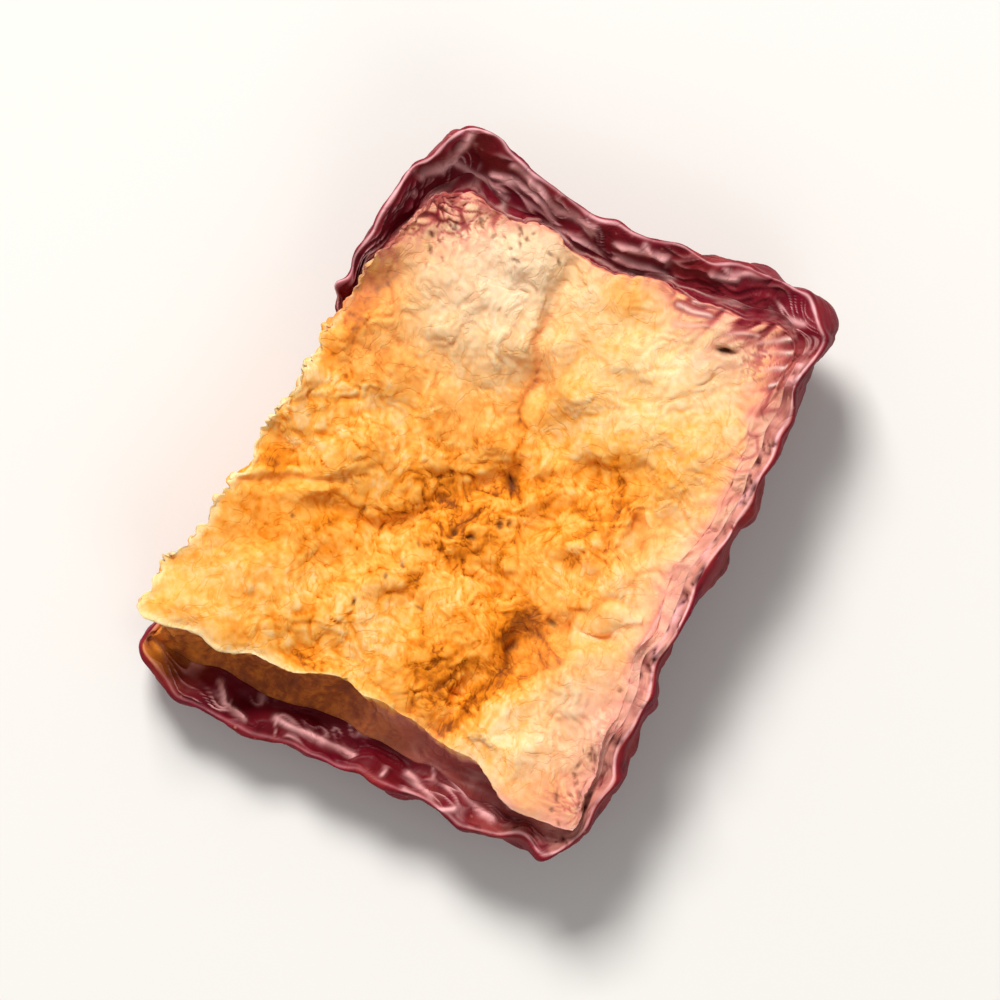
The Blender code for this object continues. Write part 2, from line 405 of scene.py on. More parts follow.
# How the flesh has coloured, each spot as x, y, radius and strength.
PALE_SPOTS = (
    (5.6, -2.6, 2.3, 1.00),
    (6.0, 0.0, 1.3, 0.75),
    (5.2, 2.6, 2.4, 0.85),
    (3.0, -1.5, 1.2, 0.60),
    (-5.0, -4.1, 1.2, 0.90),
    (-3.4, -4.9, 1.0, 0.75),
    (-0.8, -5.0, 0.8, 0.60),
    (2.4, -5.0, 1.3, 0.55),
    (-6.0, 5.1, 1.2, 0.32),
    (-4.6, 0.4, 0.9, 0.45),
)
AMBER_SPOTS = (
    (-0.9, 0.6, 2.0, 0.60),
    (-2.4, 2.6, 1.4, 0.45),
    (-5.0, -1.4, 1.2, 0.75),
    (-2.8, -2.9, 1.3, 0.70),
    (1.5, -3.0, 1.0, 0.62),
    (0.5, -1.6, 1.3, 0.50),
    (-3.8, 4.6, 1.0, 0.45),
    (-2.3, 5.3, 0.5, 0.90),
    (0.6, -0.4, 0.5, 0.90),
    (6.5, -0.3, 0.5, 0.70),
    (3.2, 5.4, 0.8, 0.80),
    (1.8, 5.0, 1.0, 0.40),
    (-6.2, 1.8, 0.4, 0.80),
)
# The tone runs from 0, pale cream, to 1, dark brown. These are the face's own, how far a spot of
# full strength moves it, and how far swells and mottling do, the latter more where it is crinkled.
BASE_TONE = 0.42
SPOT_TONE = 0.32
TONE_SWELLS = ((2.4, 0.06, 95),)
MOTTLE = (0.5, 96)
MOTTLE_SMOOTH = 0.03
MOTTLE_CRINKLED = 0.07
# Where the face is crinkled, from hardly at the paler end to fully over its middle.
CRINKLED_SPOTS = (
    (-1.5, 0.5, 3.2, 1.00),
    (-5.0, 2.0, 2.4, 0.80),
    (-4.5, -2.0, 2.0, 0.90),
    (0.5, -3.0, 2.0, 0.90),
    (0.0, 4.6, 2.6, 0.80),
    (5.8, 4.6, 1.5, 0.90),
    (4.6, 2.4, 2.0, 0.55),
    (6.5, -5.0, 1.6, 0.45),
    (-4.0, -5.6, 1.8, 0.60),
)
# The crinkles' lines, from coarse to fine, as wavelength, seed and width. For each of them, how
# brown painted shade makes it and how deep it is on a smooth face, and how much a crinkled one adds.
CRINKLE_LINES = ((1.0, 51, 0.20), (0.56, 52, 0.24), (0.32, 53, 0.28))
CRINKLE_SHADE = ((0.06, 0.14), (0.05, 0.13), (0.04, 0.08))
CRINKLE_DEPTH = ((0.0, 0.075), (0.015, 0.040), (0.006, 0.014))
LINE_MEAN = 0.3  # taken off the lines, so that they brown the face no more than they clear it
LEAST_VEINED = 0.35  # how strong the grain's veins are where the face isn't crinkled
# How spots and stains stray from where they are drawn, how lines bend, and the finest relief.
PLACE_WANDER = ((1.6, 0.22, 61), (0.7, 0.10, 71))
LINE_BEND = ((0.9, 0.20, 81),)
FINE_RELIEF = ((0.42, 0.012, 54), (0.22, 0.006, 55))
# Patches of parallel fibres: x, y, radius, direction in degrees, depth.
FIBRE_PATCHES = (
    (-5.0, -1.3, 1.2, -50, 0.09),
    (-2.2, -1.4, 1.6, 80, 0.08),
    (0.2, 1.0, 1.5, -60, 0.06),
    (5.0, -2.6, 2.4, -42, 0.050),
    (4.3, 2.6, 2.0, 25, 0.045),
    (2.6, 4.7, 1.2, 85, 0.07),
    (-4.8, 2.5, 1.8, 100, 0.05),
    (1.4, -3.0, 1.2, -20, 0.05),
    (-4.3, -4.4, 1.4, 60, 0.05),
    (2.5, -5.2, 1.5, 95, 0.06),
)
FIBRE_LENGTH = 1.3
FIBRE_PITCH = 0.42
FIBRE_WIDTH = 0.35
FIBRE_SEED = 140
FIBRE_SHADE = 1.8  # painted shade: how much browner for each mm of depth
# Crumbs that stand out from the cut edge of the +Y side: x, half width, how far.
KNOBS = (
    (-7.25, 0.34, 0.24),
    (-5.85, 0.42, 0.22),
    (-4.75, 0.25, 0.18),
    (-4.15, 0.20, 0.12),
    (-2.95, 0.28, 0.32),
    (-0.90, 0.24, 0.16),
    (0.30, 0.26, 0.14),
    (1.50, 0.30, 0.14),
    (2.60, 0.35, 0.10),
)
# At each station: how much it has of these knobs and of the fine teeth between them.
KNOB_SIDE = (1, 1, 1, 1, 0.6, *[0] * 14, 0.3)
SERRATION_PITCH = 0.34
SERRATION = 0.14
SERRATION_WANDER = ((1.5, 2.0, 63),)
KNOB_REACH = 0.45
CRUMBLED_EDGE = ((0.5, 0.06, 137), (0.28, 0.03, 138))
# At each station: how far the top of the flesh hangs out past the solid's edge.
EDGE_PUSH = (
    *(0.45, 0.05, 0.00, 0.00, 0.25),
    *(0.15, 0.00, 0.00, 0.00, 0.00),
    *(0.05, 0.00, 0.05, 0.10, 0.30),
    *(0.60, 0.25, 0.15, 0.30, 0.40),
)
EDGE_PUSH_REACH = 1.5
# Fine ridges, and with a height below 0 fine gullies, on the face: half width, height, then
# the points that they run through.
RIDGES = (
    (0.12, 0.12, ((-3.1, 6.0), (-2.6, 5.2), (-2.2, 4.4))),
    (0.12, 0.07, ((3.2, 1.6), (4.4, 2.1), (5.6, 2.6))),
    (0.30, 0.20, ((-1.7, -4.0), (-1.0, -5.1))),
    (0.20, -0.13, ((-3.6, -3.3), (-2.9, -4.05), (-1.3, -3.6), (0.7, -3.4), (1.5, -3.1))),
    (0.14, -0.10, ((-1.3, -3.8), (-0.9, -4.4), (-0.7, -5.1))),
)
RIDGE_PALE = 0.15
# Folds in the curled peel and in the flesh against it, as the points they run through; their pale pink
# is partly their own colour and partly painted highlight.
FOLD_LINES = (
    # round the +X end
    ((6.85, 3.7), (6.95, 2.5), (7.12, 1.4), (7.08, 0.8), (6.90, 0.45)),
    ((6.40, 5.9), (6.9, 5.5), (7.95, 5.3)),
    ((7.10, 5.4), (7.15, 4.4), (7.00, 3.7)),
    ((7.35, 4.3), (7.5, 3.6), (7.4, 2.7), (7.2, 2.3)),
    ((7.80, 3.9), (7.70, 3.0), (7.45, 2.3), (7.55, 1.9), (7.6, 1.2)),
    ((7.20, 0.3), (7.35, -0.4), (7.50, -1.0)),
    ((7.50, 0.5), (7.65, -0.1), (7.90, -0.8)),
    ((7.30, -2.0), (7.55, -2.8), (7.80, -3.6)),
    ((8.20, -2.1), (8.40, -2.7)),
    # fanning out in the corner at +X -Y
    ((6.50, -1.9), (6.85, -2.7)),
    ((6.90, -1.7), (7.15, -2.6)),
    ((6.95, -3.2), (7.40, -4.0)),
    ((6.65, -4.5), (7.30, -5.4)),
    ((6.85, -4.1), (7.65, -5.2)),
    ((7.20, -4.1), (7.90, -4.9)),
    ((6.40, -4.9), (6.95, -5.5)),
    ((8.05, -4.2), (8.30, -4.8)),
    # along the -Y side
    ((1.57, -5.8), (2.43, -5.65), (3.3, -5.85), (4.14, -6.0)),
    ((-1.29, -5.65), (0.43, -5.6)),
    ((-1.29, -6.05), (0.29, -6.0)),
    # in the pocket at the -X end
    ((-6.93, -3.1), (-7.26, -3.9), (-7.36, -4.7)),
    ((-6.71, -3.3), (-6.86, -3.9), (-6.71, -4.6), (-6.93, -5.2)),
    ((-7.93, -2.3), (-7.97, -3.1), (-7.64, -3.7)),
    ((-7.50, -2.1), (-7.69, -3.0)),
    ((-8.07, 1.7), (-8.0, 0.4), (-7.86, -0.6)),
    ((-8.55, 2.4), (-8.45, 3.1), (-8.05, 3.4)),
)
FOLD_HALF_WIDTH = 0.06
FOLD_VALLEY = 0.17  # the half width of the sunk valleys along both sides of a fold, painted wine-dark with shade
FOLD_REACH = 0.8  # how far in from the flesh's edge they fade out
FOLD_WANDER = ((0.9, 0.05, 131),)
FOLD_HEIGHT = 0.08
VALLEY_DEPTH = 0.05
# How pale a fold's ridge is painted: partly its own colour, partly painted highlight.
FOLD_HIGHLIGHT = 0.85
# how strongly painted shade darkens those valleys
VALLEY_SHADE = 0.9
FOLD_PER_STREAK = 2  # on the flesh, a fold's strength for a streak's there, up to 1
# Single pores and cracks: x, y, radius, depth, how much longer than wide, and degrees.
PORES = (
    (-1.25, 0.25, 0.12, 0.16, 1.2, 40),
    (-1.20, -0.30, 0.10, 0.14, 1.4, 100),
    (-0.50, -0.75, 0.11, 0.14, 1.5, 20),
    (-0.35, -0.95, 0.08, 0.10, 1.2, 0),
    (0.62, -0.42, 0.15, 0.16, 1.8, 35),
    (-3.20, 4.10, 0.08, 0.08, 1.0, 0),
    (6.55, -3.46, 0.10, 0.35, 2.6, 108),
    (-3.10, -2.75, 0.10, 0.12, 2.2, -10),
    (-2.05, -3.30, 0.09, 0.10, 2.0, 95),
)
# Groups of pores: x, y, reach along x and y, how many, and how far their run turns from x.
PORE_GROUPS = (
    (5.9, 4.75, 0.60, 0.35, 14, 60),
    (6.2, 2.9, 0.25, 0.80, 16, 90),
    (-5.2, -6.2, 0.90, 0.22, 26, 30),
    (-1.6, -6.0, 1.60, 0.14, 14, 0),
    (3.6, -5.7, 1.60, 0.16, 16, 0),
    (-2.0, 1.5, 1.50, 1.20, 8, 60),
)
PORE_SIZES = (0.035, 0.07)
PORE_STRETCH = (1.2, 3.0)
PORE_STEEPNESS = 1.2
PORE_TURN = 35
PORE_SEED = 7
# Pores are painted dark with shade, at least this much.
PORE_SHADE = 0.45
PORE_SHADE_PER_MM = 3  # painted shade: how much darker for each mm of depth
PORE_EDGE = (0.15, 0.75)  # the part of its mound over which a pore is painted with shade
# At each station: how pink the flesh is beside the rim, how far the pink reaches in, how
# strongly it is streaked towards the rim, how far the streaks reach, how brown the cut wall
# is, how wine-red it is, stained and at the +X end also painted with the crease's shade, and how much
# painted highlight pales its edge.
BLUSH = (
    *(0.0, 0.0, 0.0, 0.0, 0.3),
    *(0.9, 0.5, 0.25, 0.3, 0.8),
    *(1.0, 0.8, 0.8, 0.8, 0.95),
    *(1.0, 0.3, 0.1, 0.0, 0.0),
)
BLUSH_REACH = (
    *(0.3, 0.3, 0.3, 0.3, 0.3),
    *(0.8, 0.4, 0.2, 0.2, 0.7),
    *(1.0, 0.5, 0.45, 0.55, 0.9),
    *(1.0, 0.3, 0.3, 0.3, 0.3),
)
STREAKS = (
    *(0.0, 0.0, 0.0, 0.0, 0.5),
    *(0.8, 0.3, 0.1, 0.4, 1.0),
    *(0.9, 0.5, 0.35, 0.3, 0.35),
    *(0.35, 0.1, 0.0, 0.0, 0.0),
)
STREAK_REACH = (
    *(0.3, 0.3, 0.3, 0.3, 0.6),
    *(0.9, 0.5, 0.3, 0.5, 1.0),
    *(1.2, 0.6, 0.5, 0.5, 0.6),
    *(0.6, 0.3, 0.3, 0.3, 0.3),
)
WALL_TONE = (
    *(0.72, 0.70, 0.65, 0.65, 0.70),
    *(0.80, 0.85, 0.85, 0.75, 0.50),
    *(0.30, 0.22, 0.22, 0.22, 0.25),
    *(0.40, 0.52, 0.64, 0.84, 0.82),
)
# Stained wine-red, and at the +X end also painted shade in the crease.
WALL_WINE_AND_SHADE = (
    *(0.1, 0.0, 0.0, 0.0, 0.6),
    *(1.0, 1.0, 1.0, 1.0, 1.0),
    *(0.8, 0.2, 0.1, 0.1, 0.2),
    *(0.4, 0.8, 0.5, 0.1, 0.1),
)
# Painted highlight along the flesh's top edge, by station.
EDGE_HIGHLIGHT = (
    *(1.0, 1.0, 1.0, 1.0, 0.4),
    *(0.0, 0.0, 0.0, 0.0, 0.0),
    *(0.0, 0.0, 0.0, 0.0, 0.0),
    *(0.2, 0.3, 0.4, 0.6, 1.0),
)
EDGE_HIGHLIGHT_TONE = 0.30
EDGE_HIGHLIGHT_WIDTH = 0.25
# The streaks' own lines on the face and down the wall, and the wall's mottling.
STREAK_PITCH = 0.75
STREAK_LENGTH = 3.0
STREAK_WANDER = ((1.0, 0.2, 92),)
STREAK_LINES = (1.0, 91, 0.42)
STREAK_MEAN = 0.4
STREAK_FALL = 1.5  # the power by which they end
STREAK_CONTRAST = 0.5  # how much of the pink they leave out between them
STREAK_DEPTH = 0.07
WALL_STREAK_SPREAD = 0.8
WALL_STREAK_LINES = (1.0, 97, 0.4)
WALL_STREAK_TONE = 0.08
WALL_LINE_TONE = 0.06
WALL_LINE_DEPTHS = (0.05, 0.03, 0.04)  # of the coarse and fine crinkles and of the streaks
WALL_TONE_SWELLS = ((0.9, 0.05, 98),)
# Folds that run along the cut wall, level with its edge, and how strong they are at each station.
WALL_FOLDS = (
    *(0.0, 0.0, 0.0, 0.0, 0.2),
    *(0.6, 0.8, 0.8, 0.7, 0.5),
    *(0.3, 0.0, 0.0, 0.0, 0.1),
    *(0.3, 0.4, 0.2, 0.0, 0.0),
)
WALL_FOLD_LENGTH = 2.8
WALL_FOLD_PITCH = 0.40
WALL_FOLD_DRIFT = ((1.8, 0.5, 141),)
WALL_FOLD_WANDER = ((1.2, 0.2, 142),)
WALL_FOLD_LINES = (1.0, 143, 0.30)
WALL_FOLD_PATCHES = (0.7, 1.1, 0.6, 144)
WALL_FOLD_HEIGHT = 0.05
# how pale their ridges are painted, partly painted highlight
WALL_FOLD_HIGHLIGHT = 0.6
# Where wine-red has run into the flesh as a net of cracks, and where as a solid pool: x, y,
# radius, strength.
WINE_NETS = (
    (5.9, 4.9, 1.0, 1.0),
    (5.0, 5.6, 0.6, 0.8),
    (6.5, 3.8, 0.6, 0.6),
    (7.2, -4.6, 0.9, 0.8),
    (-5.9, -6.3, 1.0, 0.5),
    (-3.6, -6.3, 1.2, 0.4),
)
WINE_POOLS = ((6.6, 5.5, 0.75, 1.0), (7.8, -5.0, 0.80, 0.9), (-6.7, -6.5, 0.4, 0.4))
NET_LINES = ((0.62, 93, 0.25), (0.45, 99, 0.17))
NET_DEPTH = 0.05
# How much red turns the flesh rose, and how much more turns it wine-red.
ROSE_RANGE = (0.0, 0.6)
WINE_RANGE = (0.3, 0.9)
# Where the pale flesh is dry and chalky, less yellow: x, y, radius, strength.
CHALKY_SPOTS = (
    (5.4, 3.0, 2.5, 0.75),
    (5.9, 4.6, 1.2, 0.70),
    (7.1, -3.6, 1.1, 0.60),
    (-3.9, -5.6, 1.2, 0.50),
    (0.5, -5.9, 1.5, 0.30),
)
# Browner bands along the creases: half width, how brown, how much browner the thin line at
# the foot is, then the points that they run through.
CREASE_BANDS = (
    (0.16, 0.12, 0.22, ((0.5, -0.4), (1.9, -0.1), (2.4, 0.3), (4.1, 0.8), (5.6, 1.0))),
    (0.24, 0.34, 0.24, ((-6.1, -2.3), (-4.6, -2.5), (-3.7, -2.8), (-2.9, -2.5), (-1.9, -2.6))),
    (0.14, 0.14, 0.24, ((-2.7, -2.7), (-2.55, -3.3), (-2.9, -4.0))),
    (0.20, 0.20, 0.12, ((-3.6, -3.3), (-2.9, -4.05), (-1.3, -3.6), (0.7, -3.4), (1.5, -3.1))),
    (0.14, 0.12, 0.16, ((-1.3, -3.8), (-0.9, -4.4), (-0.7, -5.1))),
    (0.20, 0.08, 0.08, ((0.6, -0.4), (-0.7, 0.9), (-2.3, 2.2), (-3.0, 3.6))),
    (0.20, 0.08, 0.04, ((0.6, -0.4), (1.7, -1.9), (2.6, -3.0))),
    (0.26, 0.26, 0.00, ((-2.75, 5.8), (-2.3, 5.0), (-1.85, 4.4))),
    (0.20, 0.20, 0.10, ((2.0, 5.3), (3.2, 5.4), (4.2, 5.2))),
)
CREASE_FOOT_LINE = 0.07
BROWNEST = 0.72  # the tone above which browning slows
BROWNING = 0.36


def drawn_folds(xy, half_width):
    """The drawn folds: the strongest of their soft lines at each point."""
    return np.max([soft_line(line, half_width, xy) for line in FOLD_LINES], axis=0)


def patchy(points, mean, wavelength, spread, seed):
    """A share that changes from place to place: its mean plus waves of this spread."""
    return mean + spread * waves(points, wavelength, seed)


def weigh_crinkles(crinkles, crinkled, weights, mean):
    """The kinds of crinkle added up: each one's lines less their mean, times the weight that it
    has on a smooth face plus what a crinkled one adds."""
    return sum(
        (smooth + rough * crinkled) * (lines - mean)
        for lines, (smooth, rough) in zip(crinkles, weights)
    )


def fibres(points, degrees, seed):
    """Parallel fibres: waves in a plan turned to their direction and drawn out along it."""
    turn = math.radians(degrees)
    along = points[:, 0] * math.cos(turn) + points[:, 1] * math.sin(turn)
    across = points[:, 1] * math.cos(turn) - points[:, 0] * math.sin(turn)
    drawn = np.column_stack([along / FIBRE_LENGTH, across / FIBRE_PITCH, points[:, 2]])
    return wrinkles(drawn, 1.0, seed, FIBRE_WIDTH)


def all_pores():
    """The single pores, and for each group random ones with a normal spread about its middle."""
    random = np.random.default_rng(PORE_SEED)
    pores = list(PORES)
    for x, y, reach_x, reach_y, count, run in PORE_GROUPS:
        for place in random.normal((x, y), (reach_x, reach_y), (count, 2)):
            radius = random.uniform(*PORE_SIZES)
            stretch = random.uniform(*PORE_STRETCH)
            degrees = random.normal(run, PORE_TURN)
            pores.append((*place, radius, radius * PORE_STEEPNESS, stretch, degrees))
    return pores


def pitted(points):
    """The pores' mask and depth at each point: the strongest of their long bells, seen in plan."""
    mask = np.zeros(len(points))
    deep = np.zeros(len(points))
    for x, y, radius, depth, stretch, degrees in all_pores():
        turn = math.radians(degrees)
        dx, dy = points[:, 0] - x, points[:, 1] - y
        along = (dx * math.cos(turn) + dy * math.sin(turn)) / (radius * stretch)
        across = (dy * math.cos(turn) - dx * math.sin(turn)) / radius
        pore = np.exp(-(along**2) - across**2)
        mask = np.maximum(mask, pore)
        deep = np.maximum(deep, depth * pore)
    return mask, deep


face_a, face_b = (
    side.ravel()
    for side in np.meshgrid(
        np.linspace(-1, 1, FACE_LENGTH_STEPS + 1), np.linspace(-1, 1, FACE_WIDTH_STEPS + 1)
    )
)
face_number = np.arange(len(face_a)).reshape(FACE_WIDTH_STEPS + 1, FACE_LENGTH_STEPS + 1)
face_quads = np.stack(
    [face_number[:-1, :-1], face_number[:-1, 1:], face_number[1:, 1:], face_number[1:, :-1]],
    axis=2,
).reshape(-1, 4)
edge_loop = np.concatenate(
    [face_number[-1, :-1], face_number[:0:-1, -1], face_number[0, :0:-1], face_number[:-1, 0]]
)
edge_t = stations_at(face_a[edge_loop], face_b[edge_loop])

wall_w = np.linspace(0, GROOVE_AT, WALL_STEPS + 1)[1:]
wall_points = [ring(edge_t, np.full(len(edge_t), w)) for w in wall_w]
hidden_points = floor_rows(edge_t, FLESH_SINK)
flesh_points = np.concatenate(
    [patch(face_a, face_b, 0.0), *wall_points, *hidden_points, [[0, 0, FLOOR_MIDDLE - FLESH_SINK]]]
)
ring_count = WALL_STEPS + len(hidden_points)
ring_numbers = len(face_a) + np.arange(ring_count * len(edge_loop)).reshape(ring_count, -1)
flesh_loops = np.vstack([edge_loop, ring_numbers])
flesh_quads = np.concatenate([face_quads, loops_to_faces(flesh_loops)])
flesh_fan = fan_to_faces(flesh_loops[-1], len(flesh_points) - 1)

# Where each vertex lies: its station, how far in from the edge, and how far down the wall.
ring_t = np.tile(edge_t, ring_count)
flesh_t = np.concatenate([stations_at(face_a, face_b), ring_t, [0.0]])
face_inward = 1 - np.maximum(abs(face_a), abs(face_b))
flesh_inward = np.concatenate([face_inward * HALF_SIZE[1], np.zeros(len(ring_t) + 1)])
ring_down = np.concatenate([wall_w / GROOVE_AT, np.ones(len(hidden_points))])
flesh_down = np.concatenate([np.zeros(len(face_a)), np.repeat(ring_down, len(edge_t)), [1.0]])
flesh_middle = np.zeros(len(flesh_points))
flesh_middle[: len(face_a)] = (1 - face_a**2) * (1 - face_b**2)

lift = along_stations(EDGE_LIFT, flesh_t)
settled = lift + (1 - lift) * (1 - (1 - flesh_middle) ** EDGE_FADE)
flesh_points[:, 2] += flesh_relief(flesh_points) * settled * (1 - flesh_down) ** RELIEF_FADE
flesh_points[:, 2] -= DISH_DEPTH * flesh_middle

at_edge = along_stations(KNOB_SIDE, flesh_t) * np.exp(-flesh_inward / KNOB_REACH)
at_edge *= (1 - flesh_down) ** OVERHANG_FADE
knob_push = np.max([far * bell(flesh_points[:, 0] - x, half) for x, half, far in KNOBS], axis=0)
serration_angle = np.pi * flesh_points[:, 0] / SERRATION_PITCH + relief(flesh_points, SERRATION_WANDER)
knob_push += SERRATION * (abs(np.sin(serration_angle)) - 0.5)
flesh_points[:, 1] += knob_push * at_edge
overhang = along_stations(EDGE_PUSH, flesh_t) * np.exp(-flesh_inward / EDGE_PUSH_REACH)
overhang *= (1 - flesh_down) ** OVERHANG_FADE
flesh_points[:, :2] += outward(flesh_t) * overhang[:, None]
flesh_points += shove(flesh_points, CRUMPLES, 3)
flesh_xy = flesh_points[:, :2] + shove(flesh_points, PLACE_WANDER, 2)

crinkled = np.clip(spots(flesh_xy, CRINKLED_SPOTS), 0, 1)
bent = flesh_points + shove(flesh_points, LINE_BEND, 3)
crinkles = [wrinkles(bent, *lines) for lines in CRINKLE_LINES]
coarse_lines, fine_lines, _ = crinkles
fibre_depth = np.zeros(len(flesh_points))
for number, (x, y, radius, degrees, depth) in enumerate(FIBRE_PATCHES):
    fibre_depth += depth * mound(flesh_xy, x, y, radius) * fibres(bent, degrees, FIBRE_SEED + number)

pore_mask, pore_depth = pitted(flesh_points)
on_face = 1 - ramped(flesh_down, *FACE_ENDS)

streak_strength = along_stations(STREAKS, flesh_t)
streak_place = np.column_stack(
    [
        flesh_t * STATION_LENGTH / STREAK_PITCH,
        (flesh_inward + flesh_down) / STREAK_LENGTH,
        relief(flesh_points, STREAK_WANDER),
    ]
)
streaks = wrinkles(streak_place, *STREAK_LINES)
streak_fade = np.exp(-((flesh_inward / along_stations(STREAK_REACH, flesh_t)) ** STREAK_FALL))
streak_fade *= streak_strength * streaks
blush_reach = along_stations(BLUSH_REACH, flesh_t)
blush_mask = along_stations(BLUSH, flesh_t) * np.exp(-flesh_inward / blush_reach)
blush_mask *= 1 - STREAK_CONTRAST * streak_strength * (1 - streaks)
wine_net = spots(flesh_xy, WINE_NETS) * np.max([wrinkles(bent, *lines) for lines in NET_LINES], axis=0)
wine_pool = spots(flesh_xy, WINE_POOLS)
# wine-red stain down the cut wall, and painted shade in the crease at the +X end
wall_wine_and_shade = along_stations(WALL_WINE_AND_SHADE, flesh_t) * ramped(flesh_down, *WALL_WINE_AND_SHADE_STARTS)
fold_xy = flesh_points[:, :2] + shove(flesh_points, FOLD_WANDER, 2)
fold_fade = bell(flesh_inward, FOLD_REACH) * (1 - ramped(flesh_down, *WALL_FOLDS_START))
fold_fade *= np.minimum(FOLD_PER_STREAK * streak_strength, 1)
flesh_folds = drawn_folds(fold_xy, FOLD_HALF_WIDTH) * fold_fade
# The valleys beside the folds, sunk and painted with shade.
fold_valleys = drawn_folds(fold_xy, FOLD_VALLEY) * fold_fade
wall_fold_place = np.column_stack(
    [
        flesh_t * STATION_LENGTH / WALL_FOLD_LENGTH,
        flesh_down / WALL_FOLD_PITCH + relief(flesh_points, WALL_FOLD_DRIFT),
        relief(flesh_points, WALL_FOLD_WANDER),
    ]
)
wall_folds = wrinkles(wall_fold_place, *WALL_FOLD_LINES) * ramped(flesh_down, *WALL_FOLDS_START)
wall_folds *= along_stations(WALL_FOLDS, flesh_t) * patchy(flesh_points, *WALL_FOLD_PATCHES)

# painted highlight along the top edge of the flesh
edge_highlight = along_stations(EDGE_HIGHLIGHT, flesh_t) * bell(flesh_inward, EDGE_HIGHLIGHT_WIDTH)
mottle_strength = MOTTLE_SMOOTH + MOTTLE_CRINKLED * crinkled
tone = (
    BASE_TONE
    + SPOT_TONE * (spots(flesh_xy, AMBER_SPOTS) - spots(flesh_xy, PALE_SPOTS))
    # painted shade browning the crinkle lines
    + weigh_crinkles(crinkles, crinkled, CRINKLE_SHADE, LINE_MEAN)
    # painted shade in the fibres' grooves
    + FIBRE_SHADE * fibre_depth
    + relief(flesh_points, TONE_SWELLS)
    + mottle_strength * waves(flesh_points, *MOTTLE)
    - EDGE_HIGHLIGHT_TONE * edge_highlight
)
# browner along the creases
for half_width, brown, foot_brown, line in CREASE_BANDS:
    tone += brown * soft_line(line, half_width, flesh_xy)
    tone += foot_brown * soft_line(line, CREASE_FOOT_LINE, flesh_xy)
ridge_height = np.zeros(len(flesh_points))
for half_width, height, line in RIDGES:
    on_ridge = soft_line(line, half_width, flesh_xy)
    ridge_height += height * on_ridge
    tone -= RIDGE_PALE * on_ridge
tone = np.minimum(tone, BROWNEST + BROWNING * (tone - BROWNEST))
wall_share = ramped(flesh_down, *WALL_COLOUR_STARTS)
wall_streaks = wrinkles(streak_place * (WALL_STREAK_SPREAD, 1.0, 1.0), *WALL_STREAK_LINES)
wall_tone = along_stations(WALL_TONE, flesh_t) + WALL_STREAK_TONE * (wall_streaks - STREAK_MEAN)
wall_tone += relief(flesh_points, WALL_TONE_SWELLS) + WALL_LINE_TONE * (coarse_lines - LINE_MEAN)
tone = tone * (1 - wall_share) + wall_tone * wall_share

flesh_fine = on_face * (
    ridge_height
    - weigh_crinkles(crinkles, crinkled, CRINKLE_DEPTH, 0)
    - fibre_depth
    - STREAK_DEPTH * streak_fade
    - NET_DEPTH * wine_net
    - pore_depth
)
flesh_fine += FOLD_HEIGHT * flesh_folds - VALLEY_DEPTH * fold_valleys + WALL_FOLD_HEIGHT * wall_folds
flesh_fine += at_edge * relief(flesh_points, CRUMBLED_EDGE) + relief(flesh_points, FINE_RELIEF)
wall_lines = (coarse_lines, fine_lines, wall_streaks)
wall_depth = sum(depth * lines for depth, lines in zip(WALL_LINE_DEPTHS, wall_lines))
flesh_fine -= (1 - on_face) * wall_depth
flesh_fine *= 1 - ramped(flesh_down, *WALL_FOOT)  # so that it meets the peel along the groove
flesh = make_piece("apple_flesh", flesh_points, flesh_quads, flesh_fan, flesh_fine)
keep_mask(flesh, "tone", tone)
keep_mask(flesh, "chalk", spots(flesh_xy, CHALKY_SPOTS) * (1 - wall_share))
keep_mask(flesh, "blush", blush_mask)
# Wine-red stains, streaks and pools, with painted shade in the fold valleys and the +X crease.
wine_and_shade = np.max([wall_wine_and_shade, streak_fade, wine_net, wine_pool, VALLEY_SHADE * fold_valleys], axis=0)
keep_mask(flesh, "rose", ramped(wine_and_shade, *ROSE_RANGE))
keep_mask(flesh, "wine", ramped(wine_and_shade, *WINE_RANGE))
# pale fold ridges, partly their own colour and partly painted highlight
keep_mask(flesh, "fold", np.maximum(FOLD_HIGHLIGHT * flesh_folds, WALL_FOLD_HIGHLIGHT * wall_folds))
pore_shade = np.minimum(PORE_SHADE + PORE_SHADE_PER_MM * pore_depth, 1)  # painted shade: a deeper pore is darker
keep_mask(flesh, "pore", pore_shade * ramped(pore_mask, *PORE_EDGE) * on_face)
vein_share = LEAST_VEINED + (1 - LEAST_VEINED) * crinkled
keep_mask(flesh, "crinkle", vein_share * (1 - wall_share))


def node(tree, kind, place, **settings):
    """A new shader node of a kind at a place, with its settings."""
    made = tree.nodes.new(kind)
    made.location = place
    for name, value in settings.items():
        setattr(made, name, value)
    return made


def set_inputs(made, values):
    """Sets the inputs of a node by name."""
    for name, value in values.items():
        made.inputs[name].default_value = value


def new_finish(name):
    """A new material, with its tree of nodes and its shader."""
    material = bpy.data.materials.new(name)
    material.use_nodes = True
    return material, material.node_tree, material.node_tree.nodes["Principled BSDF"]


def mask_of(tree, name, place):
    """The value that a piece keeps for each vertex under this name."""
    return node(tree, "ShaderNodeAttribute", place, attribute_name=name).outputs["Fac"]


def mixed(tree, place, mask, under, over):
    """A colour mix: under where the mask is 0 and over where it is 1. Each may be a colour."""
    mix = node(tree, "ShaderNodeMix", place, data_type="RGBA")
    tree.links.new(mask, mix.inputs["Factor"])
    for socket, value in ((mix.inputs[6], under), (mix.inputs[7], over)):
        if isinstance(value, tuple):
            socket.default_value = (*value, 1)
        else:
            tree.links.new(value, socket)
    return mix.outputs[2]


